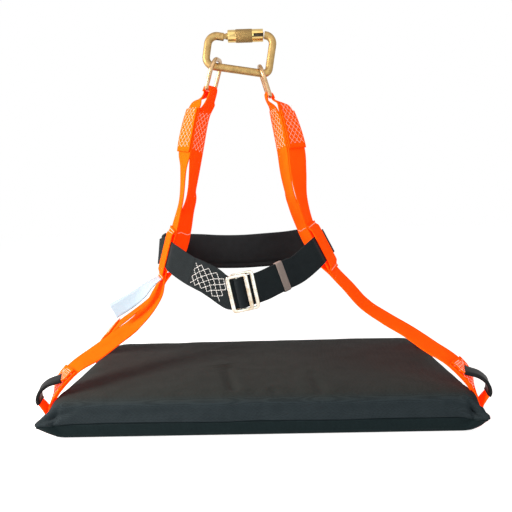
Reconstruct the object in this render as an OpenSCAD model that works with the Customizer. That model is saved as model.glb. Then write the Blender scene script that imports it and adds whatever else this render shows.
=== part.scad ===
// Bosun's chair: padded board seat, webbing straps, rings, karabiner and waist belt.
// Millimetres. Origin at the middle of the seat's underside, +Z up, -Y to the front.

/* [Seat] */
// Width of the seat at the seam
seat_w = 606; // [560:2:640]
// Depth of the seat at the seam
seat_d = 304; // [280:2:330]
// Thickness of the plywood board
board_t = 18; // [12:1:24]
// Foam thickness at the edge of the board
foam_t = 30; // [20:1:36]
// Rise of the foam in the middle
crown = 7; // [2:0.5:14]
// Thickness of the cover cloth
cover_t = 1.4; // [0.8:0.1:2.4]
// How far a cover corner sticks out at the seam
ear = 12; // [2:0.5:14]
// Distance of the front sling from the front edge
sling_front = 38; // [34:1:60]
// Distance of the rear sling from the rear edge
sling_rear = 68; // [36:1:90]

/* [Webbing] */
// Width of the strap web
web_w = 45; // [38:1:48]
// Thickness of the strap web
web_t = 2.4; // [1.6:0.1:3]
// Gap between layers that touch
web_gap = 0.5; // [0.3:0.05:1]
// Height of the belt on the left strap
belt_z = 246; // [225:1:265]

/* [Rings] */
// Radius of the ring rod
ring_r = 3.25; // [2.5:0.05:4]
// Distance from the karabiner spine to the ring bar
ring_drop = 36; // [32:0.5:44]
// Side play of the web on the ring bar
ring_play = 2; // [1:0.5:6]

/* [Karabiner] */
// Overall length
kar_len = 114; // [106:1:126]
// Radius of the bar
kar_r = 6; // [5:0.25:6.5]
// Radius of the gate rod
gate_r = 4.8; // [4:0.1:5.2]
// Outer radius of the locking sleeve
lock_r = 10; // [8.5:0.25:11]
// Play of the sleeve on the gate
lock_play = 0.4; // [0.3:0.05:0.6]
// Radius of the gate rivet
pin_r = 1.9; // [1.5:0.1:2.4]

/* [Belt] */
// Width of the belt web
belt_w = 45; // [40:1:48]
// Thickness of the belt web
belt_t = 2.4; // [1.6:0.1:2.6]
// Height of the padded back part
pad_h = 64; // [56:1:80]
// Thickness of the padded back part
pad_t = 10; // [6:0.5:14]
// Length of the keeper along the belt
keep_len = 12; // [8:1:20]

/* [Buckle] */
// Thickness of a buckle frame
frame_t = 3; // [2:0.25:3.5]
// Width of the front frame
male_w = 33; // [30:0.5:36]
// Width of a frame limb
limb_w = 6; // [4.5:0.25:7]
// Radius of the centre bar
bar_r = 2; // [1.5:0.1:2.2]

/* [Tool loops] */
// Width of the tool loop web
tool_w = 22; // [16:1:26]
// Wall of the black sleeve
tool_wall = 0.9; // [0.6:0.1:1.4]

/* [Label] */
// Width of the cloth label
label_w = 25; // [16:1:34]
// Thickness of the folded cloth label
label_t = 0.8; // [0.6:0.1:1.4]

/* [Hidden] */
$fn = 40;
hx = seat_w / 2;
hy = seat_d / 2;
soft_gap = 0.35;
sling_z = cover_t + web_gap + web_t / 2;
board_z = sling_z + web_t / 2 + web_gap;
board_hx = hx - 26;
board_hy = hy - 14;
seam_z = board_z + board_t;
foam_z = seam_z + soft_gap;
foam_top = foam_z + foam_t;
y_front = -hy + sling_front;
y_rear = hy - sling_rear;
lap = web_t + web_gap;

// Vector helpers
function unit(v) = v / norm(v);
function flat3(s) = [s[0], s[1], s[2]];
function wide3(s) = [s[3], s[4], s[5]];
function st(p, u) = [p[0], p[1], p[2], u[0], u[1], u[2]];
function step3(a, b) = sqrt(max(norm(flat3(b) - flat3(a)), 0.001));
function mixed(a, b, ta, tb, t) = ((tb - t) * a + (t - ta) * b) / (tb - ta);
function spl(a, b, c, d, f) =
    let (t1 = step3(a, b), t2 = t1 + step3(b, c), t3 = t2 + step3(c, d), t = t1 + f * (t2 - t1),
         a1 = mixed(a, b, 0, t1, t), a2 = mixed(b, c, t1, t2, t), a3 = mixed(c, d, t2, t3, t),
         b1 = mixed(a1, a2, 0, t2, t), b2 = mixed(a2, a3, t1, t3, t))
    mixed(b1, b2, t1, t2, t);
function at(s, i) = i < 0 ? 2 * s[0] - s[1]
    : i > len(s) - 1 ? 2 * s[len(s) - 1] - s[len(s) - 2] : s[i];
function smooth(s, n) = concat(
    [for (i = [0 : len(s) - 2]) for (j = [0 : n - 1])
        spl(at(s, i - 1), s[i], s[i + 1], at(s, i + 2), j / n)],
    [s[len(s) - 1]]);
function tang(s, i) = unit(flat3(at(s, i + 1)) - flat3(at(s, i - 1)));
function side(s, i) = unit(wide3(s[i]) - (wide3(s[i]) * tang(s, i)) * tang(s, i));
function face_n(s, i) = cross(tang(s, i), side(s, i));
function shifted(s, off) = [for (i = [0 : len(s) - 1])
    st(flat3(s[i]) + off * face_n(s, i), side(s, i))];
function part_of(s, i0, i1) = [for (i = [i0 : i1]) s[i]];
function mir(s) = [for (p = s) [-p[0], p[1], p[2], -p[3], p[4], p[5]]];
function rev(s) = [for (i = [len(s) - 1 : -1 : 0]) s[i]];
function oblong(w, t) = [[-w / 2, -t / 2], [w / 2, -t / 2], [w / 2, t / 2], [-w / 2, t / 2]];

// Solid swept along stations, section points are [across, through], each panel with a middle point
module sweep(s, sec) {
    m = len(sec);
    n = len(s);
    rim = [for (i = [0 : n - 1]) for (k = [0 : m - 1])
        flat3(s[i]) + sec[k][0] * side(s, i) + sec[k][1] * face_n(s, i)];
    mids = [for (i = [0 : n - 2]) for (k = [0 : m - 1])
        let (k2 = (k + 1) % m, q = i * m)
        (rim[q + k] + rim[q + k2] + rim[q + m + k] + rim[q + m + k2]) / 4];
    walls = [for (i = [0 : n - 2]) for (k = [0 : m - 1]) for (h = [0 : 3])
        let (a = i * m + k, b = i * m + (k + 1) % m, c = a + m, d = b + m, o = n * m + i * m + k)
        h == 0 ? [a, b, o] : h == 1 ? [b, d, o] : h == 2 ? [d, c, o] : [c, a, o]];
    cap0 = [for (k = [1 : m - 2]) [0, k + 1, k]];
    e = (n - 1) * m;
    cap1 = [for (k = [1 : m - 2]) [e, e + k, e + k + 1]];
    polyhedron(points = concat(rim, mids),
        faces = [for (f = concat(walls, cap0, cap1)) [f[2], f[1], f[0]]], convexity = 8);
}

// Flat tube swept along stations
module sweep_tube(s, outer, inner) {
    m = len(outer);
    n = len(s);
    ring = concat(outer, inner);
    pts = [for (i = [0 : n - 1]) for (k = [0 : 2 * m - 1])
        flat3(s[i]) + ring[k][0] * side(s, i) + ring[k][1] * face_n(s, i)];
    walls = [for (i = [0 : n - 2]) for (k = [0 : m - 1]) for (h = [0 : 3])
        let (q = i * 2 * m, k2 = (k + 1) % m,
             a = q + k, b = q + k2, c = a + 2 * m, d = b + 2 * m,
             a2 = a + m, b2 = b + m, c2 = c + m, d2 = d + m)
        h == 0 ? [a, b, d] : h == 1 ? [a, d, c] : h == 2 ? [a2, d2, b2] : [a2, c2, d2]];
    e = (n - 1) * 2 * m;
    ends = [for (k = [0 : m - 1]) for (h = [0 : 3])
        let (k2 = (k + 1) % m)
        h == 0 ? [k, k + m, k2 + m] : h == 1 ? [k, k2 + m, k2]
        : h == 2 ? [e + k, e + k2 + m, e + k + m] : [e + k, e + k2, e + k2 + m]];
    polyhedron(points = pts, faces = [for (f = concat(walls, ends)) [f[2], f[1], f[0]]], convexity = 8);
}

// Closed solid through a list of equal rings, closed at both ends by a fan
module loft(rings, p0, p1) {
    m = len(rings[0]);
    n = len(rings);
    pts = concat([for (r = rings) for (p = r) p], [p0, p1]);
    walls = [for (i = [0 : n - 2]) for (k = [0 : m - 1]) for (h = [0, 1])
        let (a = i * m + k, b = i * m + (k + 1) % m, c = a + m, d = b + m)
        h == 0 ? [a, b, d] : [a, d, c]];
    cap0 = [for (k = [0 : m - 1]) [n * m, (k + 1) % m, k]];
    cap1 = [for (k = [0 : m - 1]) [n * m + 1, (n - 1) * m + k, (n - 1) * m + (k + 1) % m]];
    polyhedron(points = pts, faces = [for (f = concat(walls, cap0, cap1)) [f[2], f[1], f[0]]], convexity = 6);
}

// Rounded rectangle with optional pulled-out corners, anticlockwise from the right
function corner(cx, cy, r, a0, out) = [for (j = [0 : 6])
    let (a = a0 + 15 * j, pull = out * max(0, 1 - abs(j - 3) / 3))
    [cx + (r + pull) * cos(a), cy + (r + pull) * sin(a)]];
function run2(a, b, n) = [for (j = [1 : n - 1]) a + (b - a) * j / n];
function seat_ring(ax, ay, r, out, z) =
    let (c0 = corner(ax - r, ay - r, r, 0, out), c1 = corner(r - ax, ay - r, r, 90, out),
         c2 = corner(r - ax, r - ay, r, 180, out), c3 = corner(ax - r, r - ay, r, 270, out),
         all = concat(c0, run2(c0[6], c1[0], 8), c1, run2(c1[6], c2[0], 6),
                      c2, run2(c2[6], c3[0], 8), c3, run2(c3[6], c0[0], 6)))
    [for (p = all) [p[0], p[1], z]];

// Rod along a flat path in the local XZ plane, corners rounded
function turn(a, b) = atan2(a[0] * b[1] - a[1] * b[0], a[0] * b[0] + a[1] * b[1]);
function cut_len(p, i, rad) = abs(rad[i] * tan(turn(p[i] - p[i - 1], p[i + 1] - p[i]) / 2));
module rod(p, rad, r) {
    n = len(p);
    for (i = [0 : n - 2]) {
        d = unit(p[i + 1] - p[i]);
        a = i == 0 ? p[0] : p[i] + d * cut_len(p, i, rad);
        b = i == n - 2 ? p[n - 1] : p[i + 1] - d * cut_len(p, i + 1, rad);
        translate([a[0], 0, a[1]])
            rotate([0, 90 - atan2(d[1], d[0]), 0])
                cylinder(r = r, h = norm(b - a));
    }
    for (i = [1 : n - 2]) {
        d0 = unit(p[i] - p[i - 1]);
        d1 = unit(p[i + 1] - p[i]);
        s = turn(d0, d1);
        q = p[i] - d0 * cut_len(p, i, rad);
        nrm = s > 0 ? [-d0[1], d0[0]] : [d0[1], -d0[0]];
        c = q + nrm * rad[i];
        a0 = atan2(-nrm[1], -nrm[0]);
        translate([c[0], 0, c[1]])
            rotate([90, 0, 0])
                rotate([0, 0, s > 0 ? a0 : a0 + s])
                    rotate_extrude(angle = abs(s))
                        translate([rad[i], 0]) circle(r = r);
    }
}

// Local axes as a placed matrix: columns are the three local axes
module placed(o, ax, ay, az) {
    multmatrix([[ax[0], ay[0], az[0], o[0]], [ax[1], ay[1], az[1], o[1]],
                [ax[2], ay[2], az[2], o[2]], [0, 0, 0, 1]]) children();
}

// Flat plate outline with round corners
module round_rect(w, h, r) {
    square([w - 2 * r, h], center = true);
    square([w, h - 2 * r], center = true);
    for (sx = [-1, 1]) for (sy = [-1, 1])
        translate([sx * (w / 2 - r), sy * (h / 2 - r)]) circle(r = r);
}

// Karabiner values, local x along the spine, local z to the gate
kar_o = [-22, -5, 566.5];
kar_tilt = 10;
kar_a = kar_len / 2 - kar_r;
spine_z = -28.5;
pin_l = [-kar_a + 19, 18.5];
nose_l = [kar_a - 15, 30];
gate_a = atan2(nose_l[1] - pin_l[1], nose_l[0] - pin_l[0]);
gate_len = norm(nose_l - pin_l) - 1.2;
lock_x = 11;
lock_len = gate_len - lock_x - 0.8;
function spine_pt(x) = kar_o + [x * cos(kar_tilt) + spine_z * sin(kar_tilt), 0,
    spine_z * cos(kar_tilt) - x * sin(kar_tilt)];

// Ring values: spine point, direction up the ring, direction along the bar
ring_gap = 1.6;
bar_len = web_w + ring_play + 2 * ring_r;
ring_len = ring_drop + kar_r + ring_r + ring_gap;
eye_r = ring_r + web_gap + web_t / 2;
up_l = unit([0.315, -0.225, 0.92]);
up_r = unit([-0.3, -0.28, 0.91]);
function square_to(v, e) = unit(v - (v * e) * e);
bar_l = square_to([0.12, 0.98, 0.1], up_l);
bar_rt = square_to([0, 1, 0.05], up_r);
out_l = cross(up_l, bar_l);
out_r = cross(bar_rt, up_r);
hold_l = spine_pt(-kar_a + 18) - ring_drop * up_l;
hold_r = spine_pt(kar_a - 10.5) - ring_drop * up_r;

// Web round a ring bar, from the outer side over the top to the inner side
function eye(o, out, up, b) = concat(
    [st(o + (eye_r + 0.8) * out - 8 * up, b)],
    [for (a = [0 : 30 : 180]) st(o + eye_r * (cos(a) * out + sin(a) * up), b)],
    [st(o - (eye_r + 0.4) * out - 7 * up, b)]);

// Where the belt crosses the straps: point, direction up the leg, across it and inwards
cross_l = [-154, 15, belt_z];
cross_r = [105.5, 15, belt_z + 4];
fall_l = unit([0.28, 0, 0.96]);
fall_r = unit([-0.45, 0, 0.9]);
wide_l = square_to([-0.38, 0.925, 0], fall_l);
wide_r = square_to([0.42, 0.907, 0], fall_r);
in_l = cross(wide_l, fall_l);
in_r = cross(fall_r, wide_r);

// Strap routes, front leg from the seat to the ring, then the rear leg down
sx = hx + 1.2;
low_front = [
    st([-sx - 0.6, y_front - 2, seam_z + 21], [-0.25, 0.97, 0]),
    st([-sx + 6, y_front + 2, seam_z + 41], [-0.5, 0.86, 0]),
    st([-sx + 22, y_front + 14, seam_z + 62], [-0.66, 0.75, 0]),
    st([-sx + 46, y_front + 40, seam_z + 76.5], [-0.5, 0.84, 0.2]),
    st([-sx + 70, y_front + 67, seam_z + 92.5], [-0.43, 0.88, 0.22])];
low_rear = [
    st([-sx + 72, y_rear - 36, seam_z + 113], [-0.25, 0.97, 0]),
    st([-sx + 38, y_rear - 24, seam_z + 88], [-0.25, 0.97, 0]),
    st([-sx + 12, y_rear - 10, seam_z + 64], [-0.12, 0.99, 0]),
    st([-sx + 1, y_rear - 2, seam_z + 38], [0, 1, 0]),
    st([-sx - 0.6, y_rear, seam_z + 18], [0, 1, 0])];
up_front_l = [
    st([-210, -19, 132.5], [-0.42, 0.88, 0.22]),
    st([-188.5, -1, 155], [-0.43, 0.88, 0.2]),
    st([-175, 10, 179], [-0.47, 0.86, 0.2]),
    st(cross_l - 44 * fall_l, wide_l),
    st(cross_l - 28 * fall_l, wide_l),
    st(cross_l, wide_l),
    st(cross_l + 28 * fall_l, wide_l),
    st(cross_l + 44 * fall_l, wide_l),
    st([-127, 6, 334], [-0.3, 0.95, 0]),
    st([-120.5, 5, 388], [-0.38, 0.925, 0]),
    st([-117, 3, 413], [-0.58, 0.81, 0]),
    st([-101, 3, 476], [-0.56, 0.82, 0]),
    st([-93, 4, 493], [-0.5, 0.86, 0.05])];
up_rear_l = [
    st([-74, 7, 490], [0.18, 0.975, 0.1]),
    st([-85.5, 16.5, 474], [0.3, 0.954, 0]),
    st([-99.5, 16.5, 413], [0.3, 0.954, 0]),
    st([-110.5, 13, 345], [0.12, 0.99, 0]),
    st([-121.5, 30, 314], [0.32, 0.947, 0]),
    st([-129, 31, 281], [0.38, 0.925, 0]),
    st([-137, 31, 248], [0.3, 0.954, 0]),
    st([-148, 25, 220], [0, 1, 0]),
    st(cross_l - 44 * fall_l + lap * in_l, wide_l),
    st([-175.5, 23.5, 186], [-0.42, 0.9, 0]),
    st([-186, 42, 173], [-0.3, 0.95, 0]),
    st([-200, 52, 160], [-0.25, 0.97, 0])];
up_front_r = [
    st([203.5, -22, 133.7], [0.46, 0.87, 0.16]),
    st([172.8, -4, 154.6], [0.45, 0.88, 0.14]),
    st([150, 8, 181], [0.47, 0.87, 0.12]),
    st(cross_r - 44 * fall_r, wide_r),
    st(cross_r - 28 * fall_r, wide_r),
    st(cross_r, wide_r),
    st(cross_r + 28 * fall_r, wide_r),
    st(cross_r + 44 * fall_r, wide_r),
    st([74, 10, 334], [0.45, 0.89, 0]),
    st([69, 5, 375], [0.62, 0.78, 0]),
    st([66, 3, 413], [0.66, 0.75, 0]),
    st([52, 3, 468], [0.56, 0.82, 0]),
    st([45.3, 4, 484], [0.46, 0.88, 0.05])];
up_rear_r = [
    st([29.5, 9, 478], [-0.2, 0.965, 0.1]),
    st([34, 12.5, 464], [-0.3, 0.954, 0]),
    st([43, 12, 413], [-0.32, 0.947, 0]),
    st([47.5, 14, 375], [-0.3, 0.954, 0]),
    st([54, 16, 341], [-0.25, 0.968, 0]),
    st([62, 26, 318], [-0.33, 0.944, 0]),
    st([75, 36.5, 288], [-0.45, 0.893, 0]),
    st([88, 36, 255], [-0.35, 0.937, 0]),
    st([101, 27, 226], [-0.05, 1, 0]),
    st(cross_r - 44 * fall_r + lap * in_r, wide_r),
    st([151, 21, 180], [0.42, 0.9, 0]),
    st([190, 44, 147], [0.22, 0.975, 0])];
low_front_r = concat(mir(part_of(low_front, 0, 2)), [
    st([sx - 46, y_front + 39, seam_z + 77.5], [0.54, 0.83, 0.12]),
    st([sx - 70, y_front + 66, seam_z + 93.6], [0.47, 0.87, 0.14])]);
low_rear_r = concat([
    st([sx - 75, y_rear - 36, seam_z + 91], [0.25, 0.97, 0]),
    st([sx - 42, y_rear - 24, seam_z + 67], [0.25, 0.97, 0]),
    st([sx - 14, y_rear - 10, seam_z + 51], [0.12, 0.99, 0])], mir(part_of(low_rear, 3, 4)));
sub = 4;
strap_l = smooth(concat(low_front, up_front_l, eye(hold_l, out_l, up_l, bar_l), up_rear_l, low_rear), sub);
strap_r = smooth(concat(low_front_r, up_front_r, eye(hold_r, out_r, up_r, bar_rt), up_rear_r, low_rear_r), sub);
n_low = len(low_front);
n_up_l = len(up_front_l);
n_up_r = len(up_front_r);

// Slings: under the board, out through the cover, up the outer face of a strap leg
function sling_half(y, leg) = concat(
    [st([0, y, sling_z], [0, 1, 0]),
     st([-board_hx / 2, y, sling_z], [0, 1, 0]),
     st([-board_hx + 2, y, sling_z], [0, 1, 0]),
     st([-board_hx - 7, y, sling_z + 0.4], [0, 1, 0]),
     st([-hx + 10, y, sling_z + 4.5], [0, 1, 0]),
     st([-hx + 1.5, y, sling_z + 10.5], [0, 1, 0]),
     st([-hx - 3.4, y - 0.5, seam_z + 2], [0, 1, 0])], leg);
leg_front = shifted(part_of(strap_l, 0, 2 * sub), lap);
leg_rear = shifted(rev(part_of(strap_l, len(strap_l) - 1 - 3 * sub, len(strap_l) - 1)), lap);
leg_front_r = mir(shifted(part_of(strap_r, 0, 2 * sub), -lap));
leg_rear_r = mir(shifted(rev(part_of(strap_r, len(strap_r) - 1 - 3 * sub, len(strap_r) - 1)), -lap - 0.5));
half_front = sling_half(y_front, [for (i = [0 : 2 : len(leg_front) - 1]) leg_front[i]]);
half_rear = sling_half(y_rear, [for (i = [0 : 2 : len(leg_rear) - 1]) leg_rear[i]]);
half_front_r = sling_half(y_front, [for (i = [0 : 2 : len(leg_front_r) - 1]) leg_front_r[i]]);
half_rear_r = sling_half(y_rear, [for (i = [0 : 2 : len(leg_rear_r) - 1]) leg_rear_r[i]]);
function both(h, g) = smooth(concat(rev(mir(part_of(g, 1, len(g) - 1))), h), 3);
sling_f = both(half_front, half_front_r);
sling_r = both(half_rear, half_rear_r);

// Belt loops: on the outer leg, bulged out over the belt
belt_out = web_t / 2 + belt_t / 2 + web_gap;
loop_out = belt_out + belt_t / 2 + web_t / 2 + web_gap + 0.3;
function bulge(s, lo, hi) = [for (i = [0 : len(s) - 1])
    let (t = i / (len(s) - 1), k = min(1, max(0, min(t, 1 - t) - 0.06) * 8))
    st(flat3(s[i]) + (lo + (hi - lo) * k * k * (3 - 2 * k)) * face_n(s, i), side(s, i))];

// Buckle frame axes, local x to the right, y to the back, z up
buck_o = [-28, -91, 193];
buck_a = -11;
bux = [cos(buck_a), 0, -sin(buck_a)];
buz = [sin(buck_a), 0, cos(buck_a)];
function bw(x, y) = buck_o + x * bux + [0, y, 0];
end_w = 0.75 * limb_w;
frame_h = belt_w + 2 * end_w + 2;
male_in = male_w / 2 - limb_w;
bar_y = -4.5;
wrap_r = bar_r + web_gap + belt_t / 2;
fem_x = 7;
fem_w = 25 + 2 * limb_w;
fem_y = 4;
fem_l = fem_x - 12.5;
bl = belt_t + web_gap;

// Belt route from the sewn end behind the left web, round the belt to the free end
belt_sag = 12;
run_e = cross_r - belt_out * in_r - 40 * wide_r - [0, 0, belt_sag];
run_d = unit(run_e - bw(30, 9.4));
run_u = unit([-0.25, 0, 0.97] - ([-0.25, 0, 0.97] * run_d) * run_d);
run_n = cross(run_u, run_d);
run_o = bw(30, 9.4);
eye_y = frame_t / 2 + web_gap + belt_t / 2;
belt_pts = [
    st([-86, -71 + bl, 216] + [0.5, 0.3, 0], [0.36, 0, 0.93]),
    st(buck_o + [-28, 7 + bl, 5], [0.08, 0, 0.997]),
    st(bw(-15, fem_y + eye_y + 1.7), buz),
    st(bw(fem_l - 3, fem_y + eye_y + 0.2), buz),
    st(bw(fem_l + 0.7, fem_y + eye_y - 0.1), buz),
    st(bw(fem_l + 2.3, fem_y + eye_y / 2), buz),
    st(bw(fem_l + 2.5, fem_y), buz),
    st(bw(fem_l + 2.3, fem_y - eye_y / 2), buz),
    st(bw(fem_l + 0.7, fem_y - eye_y + 0.1), buz),
    st(bw(fem_l - 3, fem_y - eye_y - 0.15), buz),
    st(bw(-15, fem_y - eye_y - 0.2), buz),
    st(buck_o + [-28, 5.6, 5], [0.08, 0, 0.997]),
    st([-69, -79, 208], [0.3, 0, 0.95]),
    st([-88, -70, 217], [0.36, 0, 0.93]),
    st([-111, -49, 225], [0.3, 0, 0.95]),
    st(cross_l - belt_out * in_l - 40 * wide_l, fall_l),
    st(cross_l - belt_out * in_l - 28 * wide_l, fall_l),
    st(cross_l - belt_out * in_l, fall_l),
    st(cross_l - belt_out * in_l + 28 * wide_l, fall_l),
    st(cross_l - belt_out * in_l + 40 * wide_l, fall_l),
    st([-183, 72, belt_z - 1], [0.12, 0, 0.99]),
    st([-176, 97, belt_z - 2], [0.05, 0, 1]),
    st([-154, 115, belt_z - 3], [0, 0, 1]),
    st([-116, 124, belt_z - 5], [0, 0, 1]),
    st([-80, 130, belt_z - 8], [0, 0, 1]),
    st([-35, 132, belt_z - 9], [0, 0, 1]),
    st([10, 130, belt_z - 7], [0, 0, 1]),
    st([55, 123, belt_z - 4], [0, 0, 1]),
    st([84, 110, belt_z], [0, 0, 1]),
    st([103, 97, belt_z + 3], [-0.12, 0, 1]),
    st([117, 76, belt_z + 4], [-0.25, 0, 0.97]),
    st(cross_r - belt_out * in_r + 40 * wide_r, fall_r),
    st(cross_r - belt_out * in_r + 28 * wide_r, fall_r),
    st(cross_r - belt_out * in_r, fall_r),
    st(cross_r - belt_out * in_r - 28 * wide_r, fall_r),
    st(cross_r - belt_out * in_r - 40 * wide_r, fall_r),
    st(run_o + 75 * run_d, run_u),
    st(run_o + 50 * run_d, run_u),
    st(run_o + 25 * run_d, run_u),
    st(run_o + 8 * run_d, run_u),
    st(bw(22, 7.4), buz),
    st(bw(17.4, 6.2), buz),
    st(bw(12, 1.4), buz),
    st(bw(8.4, -1), buz),
    st(bw(4.6, bar_y - wrap_r + 1.6), buz),
    st(bw(1.6, bar_y - wrap_r), buz),
    st(bw(-wrap_r * 0.6, bar_y - wrap_r * 0.85), buz),
    st(bw(-wrap_r - 0.1, bar_y), buz),
    st(bw(-wrap_r * 0.6, bar_y + wrap_r * 0.85), buz),
    st(bw(1.4, bar_y + wrap_r + 0.2), buz),
    st(bw(5.4, 1.2 + web_gap), buz),
    st(bw(9.4, 2.8 + bl / 4), buz),
    st(bw(12.2, 2.6 + bl), buz),
    st(bw(16.6, 7.8 + bl), buz),
    st(bw(21.6, 8.2 + bl), buz),
    st(run_o + 8 * run_d + (bl + 0.4) * run_n, run_u),
    st(run_o + 25 * run_d + bl * run_n, run_u),
    st(run_o + 50 * run_d + bl * run_n, run_u),
    st(run_o + 66 * run_d + bl * run_n, run_u)];
belt_s = smooth(belt_pts, 3);
pad_s = part_of(shifted(belt_s, pad_t / 2 + belt_t / 2 + web_gap + 0.4), 3 * 19 + 1, 3 * 29);

// Tool loops, left: both ends lie on the outer face of the front sling
function on_leg(i) =
    st(flat3(leg_front[i]) + (lap + 0.9) * face_n(leg_front, i) - 9 * side(leg_front, i), side(leg_front, i));
tool_pts = concat([on_leg(8), on_leg(7), on_leg(6)], [
    st([-sx - 6, y_front - 8, seam_z + 49.5], [-0.4, 0.92, 0]),
    st([-sx - 14.5, y_front - 13, seam_z + 41], [-0.3, 0.95, 0]),
    st([-sx - 16.5, y_front - 14, seam_z + 29], [-0.2, 0.98, 0]),
    st([-sx - 10.6, y_front - 12, seam_z + 17.5], [-0.1, 0.99, 0]),
    st([-hx - 4.4 - lap, y_front - 11, seam_z + 9], [-0.04, 1, 0]),
    st([-hx - 3.8 - lap, y_front - 11, seam_z + 2], [0, 1, 0])]);
tool_s = smooth(tool_pts, 4);

// Label, sewn to the lower end of the left belt loop
label_off = lap + web_t / 2 + label_t + 0.3;
label_pts = [
    st(cross_l - 43 * fall_l - label_off * in_l - 6 * wide_l, -wide_l),
    st([-186.5, -0.5, belt_z - 52], [0.5, -0.78, -0.3]),
    st([-200.5, -7.5, belt_z - 65], [0.62, -0.5, -0.6]),
    st([-219, -15, belt_z - 78], [0.62, -0.3, -0.7]),
    st([-242, -22, belt_z - 91], [0.6, -0.22, -0.76])];

module seat_board() {
    color("burlywood") translate([0, 0, board_z]) linear_extrude(board_t)
        round_rect(2 * board_hx, 2 * board_hy, 18);
}

// Cover surface: half sizes and height of each ring above the seam
function top_rings(g) = [
    seat_ring(hx - g, hy - g, 12, g > 0 ? 0 : ear, seam_z + (g > 0 ? 0 : soft_gap)),
    seat_ring(hx - 2 - g, hy - 2 - g, 16, g > 0 ? 0 : ear * 0.5, seam_z + 4),
    seat_ring(hx - 3 - g, hy - 3 - g, 20, 0, seam_z + foam_t * 0.45),
    seat_ring(hx - 4.5 - g, hy - 4.5 - g, 22, 0, seam_z + foam_t * 0.84 - g * 0.3),
    seat_ring(hx - 11 - g, hy - 10 - g, 24, 0, seam_z + foam_t + 1.6 - g * 0.8),
    seat_ring(hx - 28 - g, hy - 26 - g, 26, 0, seam_z + foam_t + 3.5 + crown * 0.28 - g),
    seat_ring(hx - 70 - g, hy - 60 - g, 30, 0, seam_z + foam_t + 3.7 + crown * 0.65 - g),
    seat_ring(hx - 150 - g, hy - 105 - g, 30, 0, seam_z + foam_t + 3.8 + crown * 0.94 - g)];
function top_mid(g) = [0, 0, seam_z + foam_t + 3.8 + crown - g];

module seat_foam() {
    g = cover_t + soft_gap;
    color("khaki") loft(concat([for (p = [0]) seat_ring(board_hx, board_hy, 18, 0, foam_z)],
        [for (i = [2 : 7]) top_rings(g + 0.6)[i]]), [0, 0, foam_z], top_mid(g + 0.6));
}

module seat_cover_top() {
    outer = top_rings(0);
    inner = top_rings(cover_t);
    color("#34312e") loft(concat(rev([for (i = [0 : 7]) inner[i]]), outer), top_mid(cover_t), top_mid(0));
}

function base_rings(g) = [
    seat_ring(hx - g, hy - g, 12, g > 0 ? 0 : ear, seam_z - (g > 0 ? 0 : soft_gap)),
    seat_ring(hx - 2 - g, hy - 2 - g, 14, g > 0 ? 0 : ear * 0.5, seam_z - 4),
    seat_ring(hx - 3 - g, hy - 3 - g, 16, 0, seam_z * 0.5),
    seat_ring(hx - 6 - g, hy - 5 - g, 18, 0, 3 + g * 0.6),
    seat_ring(hx - 11 - g, hy - 9 - g, 18, 0, g)];

module seat_cover_base() {
    outer = base_rings(0);
    inner = base_rings(cover_t);
    color("#2b302f") difference() {
        loft(concat(rev(outer), inner), [0, 0, 0], [0, 0, cover_t]);
        for (mx = [-1, 1]) for (y = [y_front, y_rear])
            translate([mx * (hx - 4) - 14, y - web_w / 2 - 2, sling_z + 0.6])
                cube([28, web_w + 4, 14]);
    }
}

module front_sling() {
    color("darkorange") sweep(sling_f, oblong(web_w, web_t));
}

module rear_sling() {
    color("darkorange") sweep(sling_r, oblong(web_w, web_t));
}

module strap_left() {
    color("orangered") sweep(part_of(strap_l, 2, len(strap_l) - 3), oblong(web_w, web_t));
}

module strap_right() {
    color("orangered") sweep(part_of(strap_r, 2, len(strap_r) - 3), oblong(web_w, web_t));
}

module eye_patch_left() {
    i1 = (n_low + n_up_l - 1) * sub;
    color("orange") sweep(part_of(shifted(strap_l, lap + 0.3), i1 - 2 * sub, i1 - 3), oblong(web_w, web_t));
}

module eye_patch_right() {
    i1 = (n_low + n_up_r - 1) * sub;
    color("orange") sweep(part_of(shifted(strap_r, -lap - 0.3), i1 - 2 * sub, i1 - 3), oblong(web_w, web_t));
}

module belt_loop_left() {
    i1 = (n_low + 5) * sub;
    color("orange") sweep(bulge(part_of(strap_l, i1 - 2 * sub, i1 + 2 * sub), lap, loop_out), oblong(web_w, web_t));
}

module belt_loop_right() {
    i1 = (n_low + 5) * sub;
    color("orange") sweep(bulge(part_of(strap_r, i1 - 2 * sub, i1 + 2 * sub), -lap, -loop_out), oblong(web_w, web_t));
}

module tool_loop_left() {
    color("orange") sweep(tool_s, oblong(tool_w, web_t));
}

module tool_loop_right() {
    color("orange") sweep(mir(tool_s), oblong(tool_w, web_t));
}

module tool_sleeve_left() {
    g = 2 * soft_gap;
    color("#202224") sweep_tube(part_of(tool_s, 12, 25),
        oblong(tool_w + g + 2 * tool_wall, web_t + g + 2 * tool_wall), oblong(tool_w + g, web_t + g));
}

module tool_sleeve_right() {
    g = 2 * soft_gap;
    color("#202224") sweep_tube(mir(part_of(tool_s, 12, 25)),
        oblong(tool_w + g + 2 * tool_wall, web_t + g + 2 * tool_wall), oblong(tool_w + g, web_t + g));
}

module care_label() {
    color("white") sweep(smooth(label_pts, 6), oblong(label_w, label_t));
}

module ring(o, b, up) {
    w = bar_len / 2;
    color("#d8b878") placed(o, b, cross(up, b), up)
        rod([[0, 0], [w, 0], [w, ring_len], [-w, ring_len], [-w, 0], [0, 0]],
            [0, 5, 20, 20, 5, 0], ring_r);
}

module ring_left() {
    ring(hold_l, bar_l, up_l);
}

module ring_right() {
    ring(hold_r, bar_rt, up_r);
}

module in_kar() {
    translate(kar_o) rotate([0, kar_tilt, 0]) children();
}

module in_gate() {
    in_kar() translate([pin_l[0], 0, pin_l[1]]) rotate([0, -gate_a, 0]) children();
}

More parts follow.
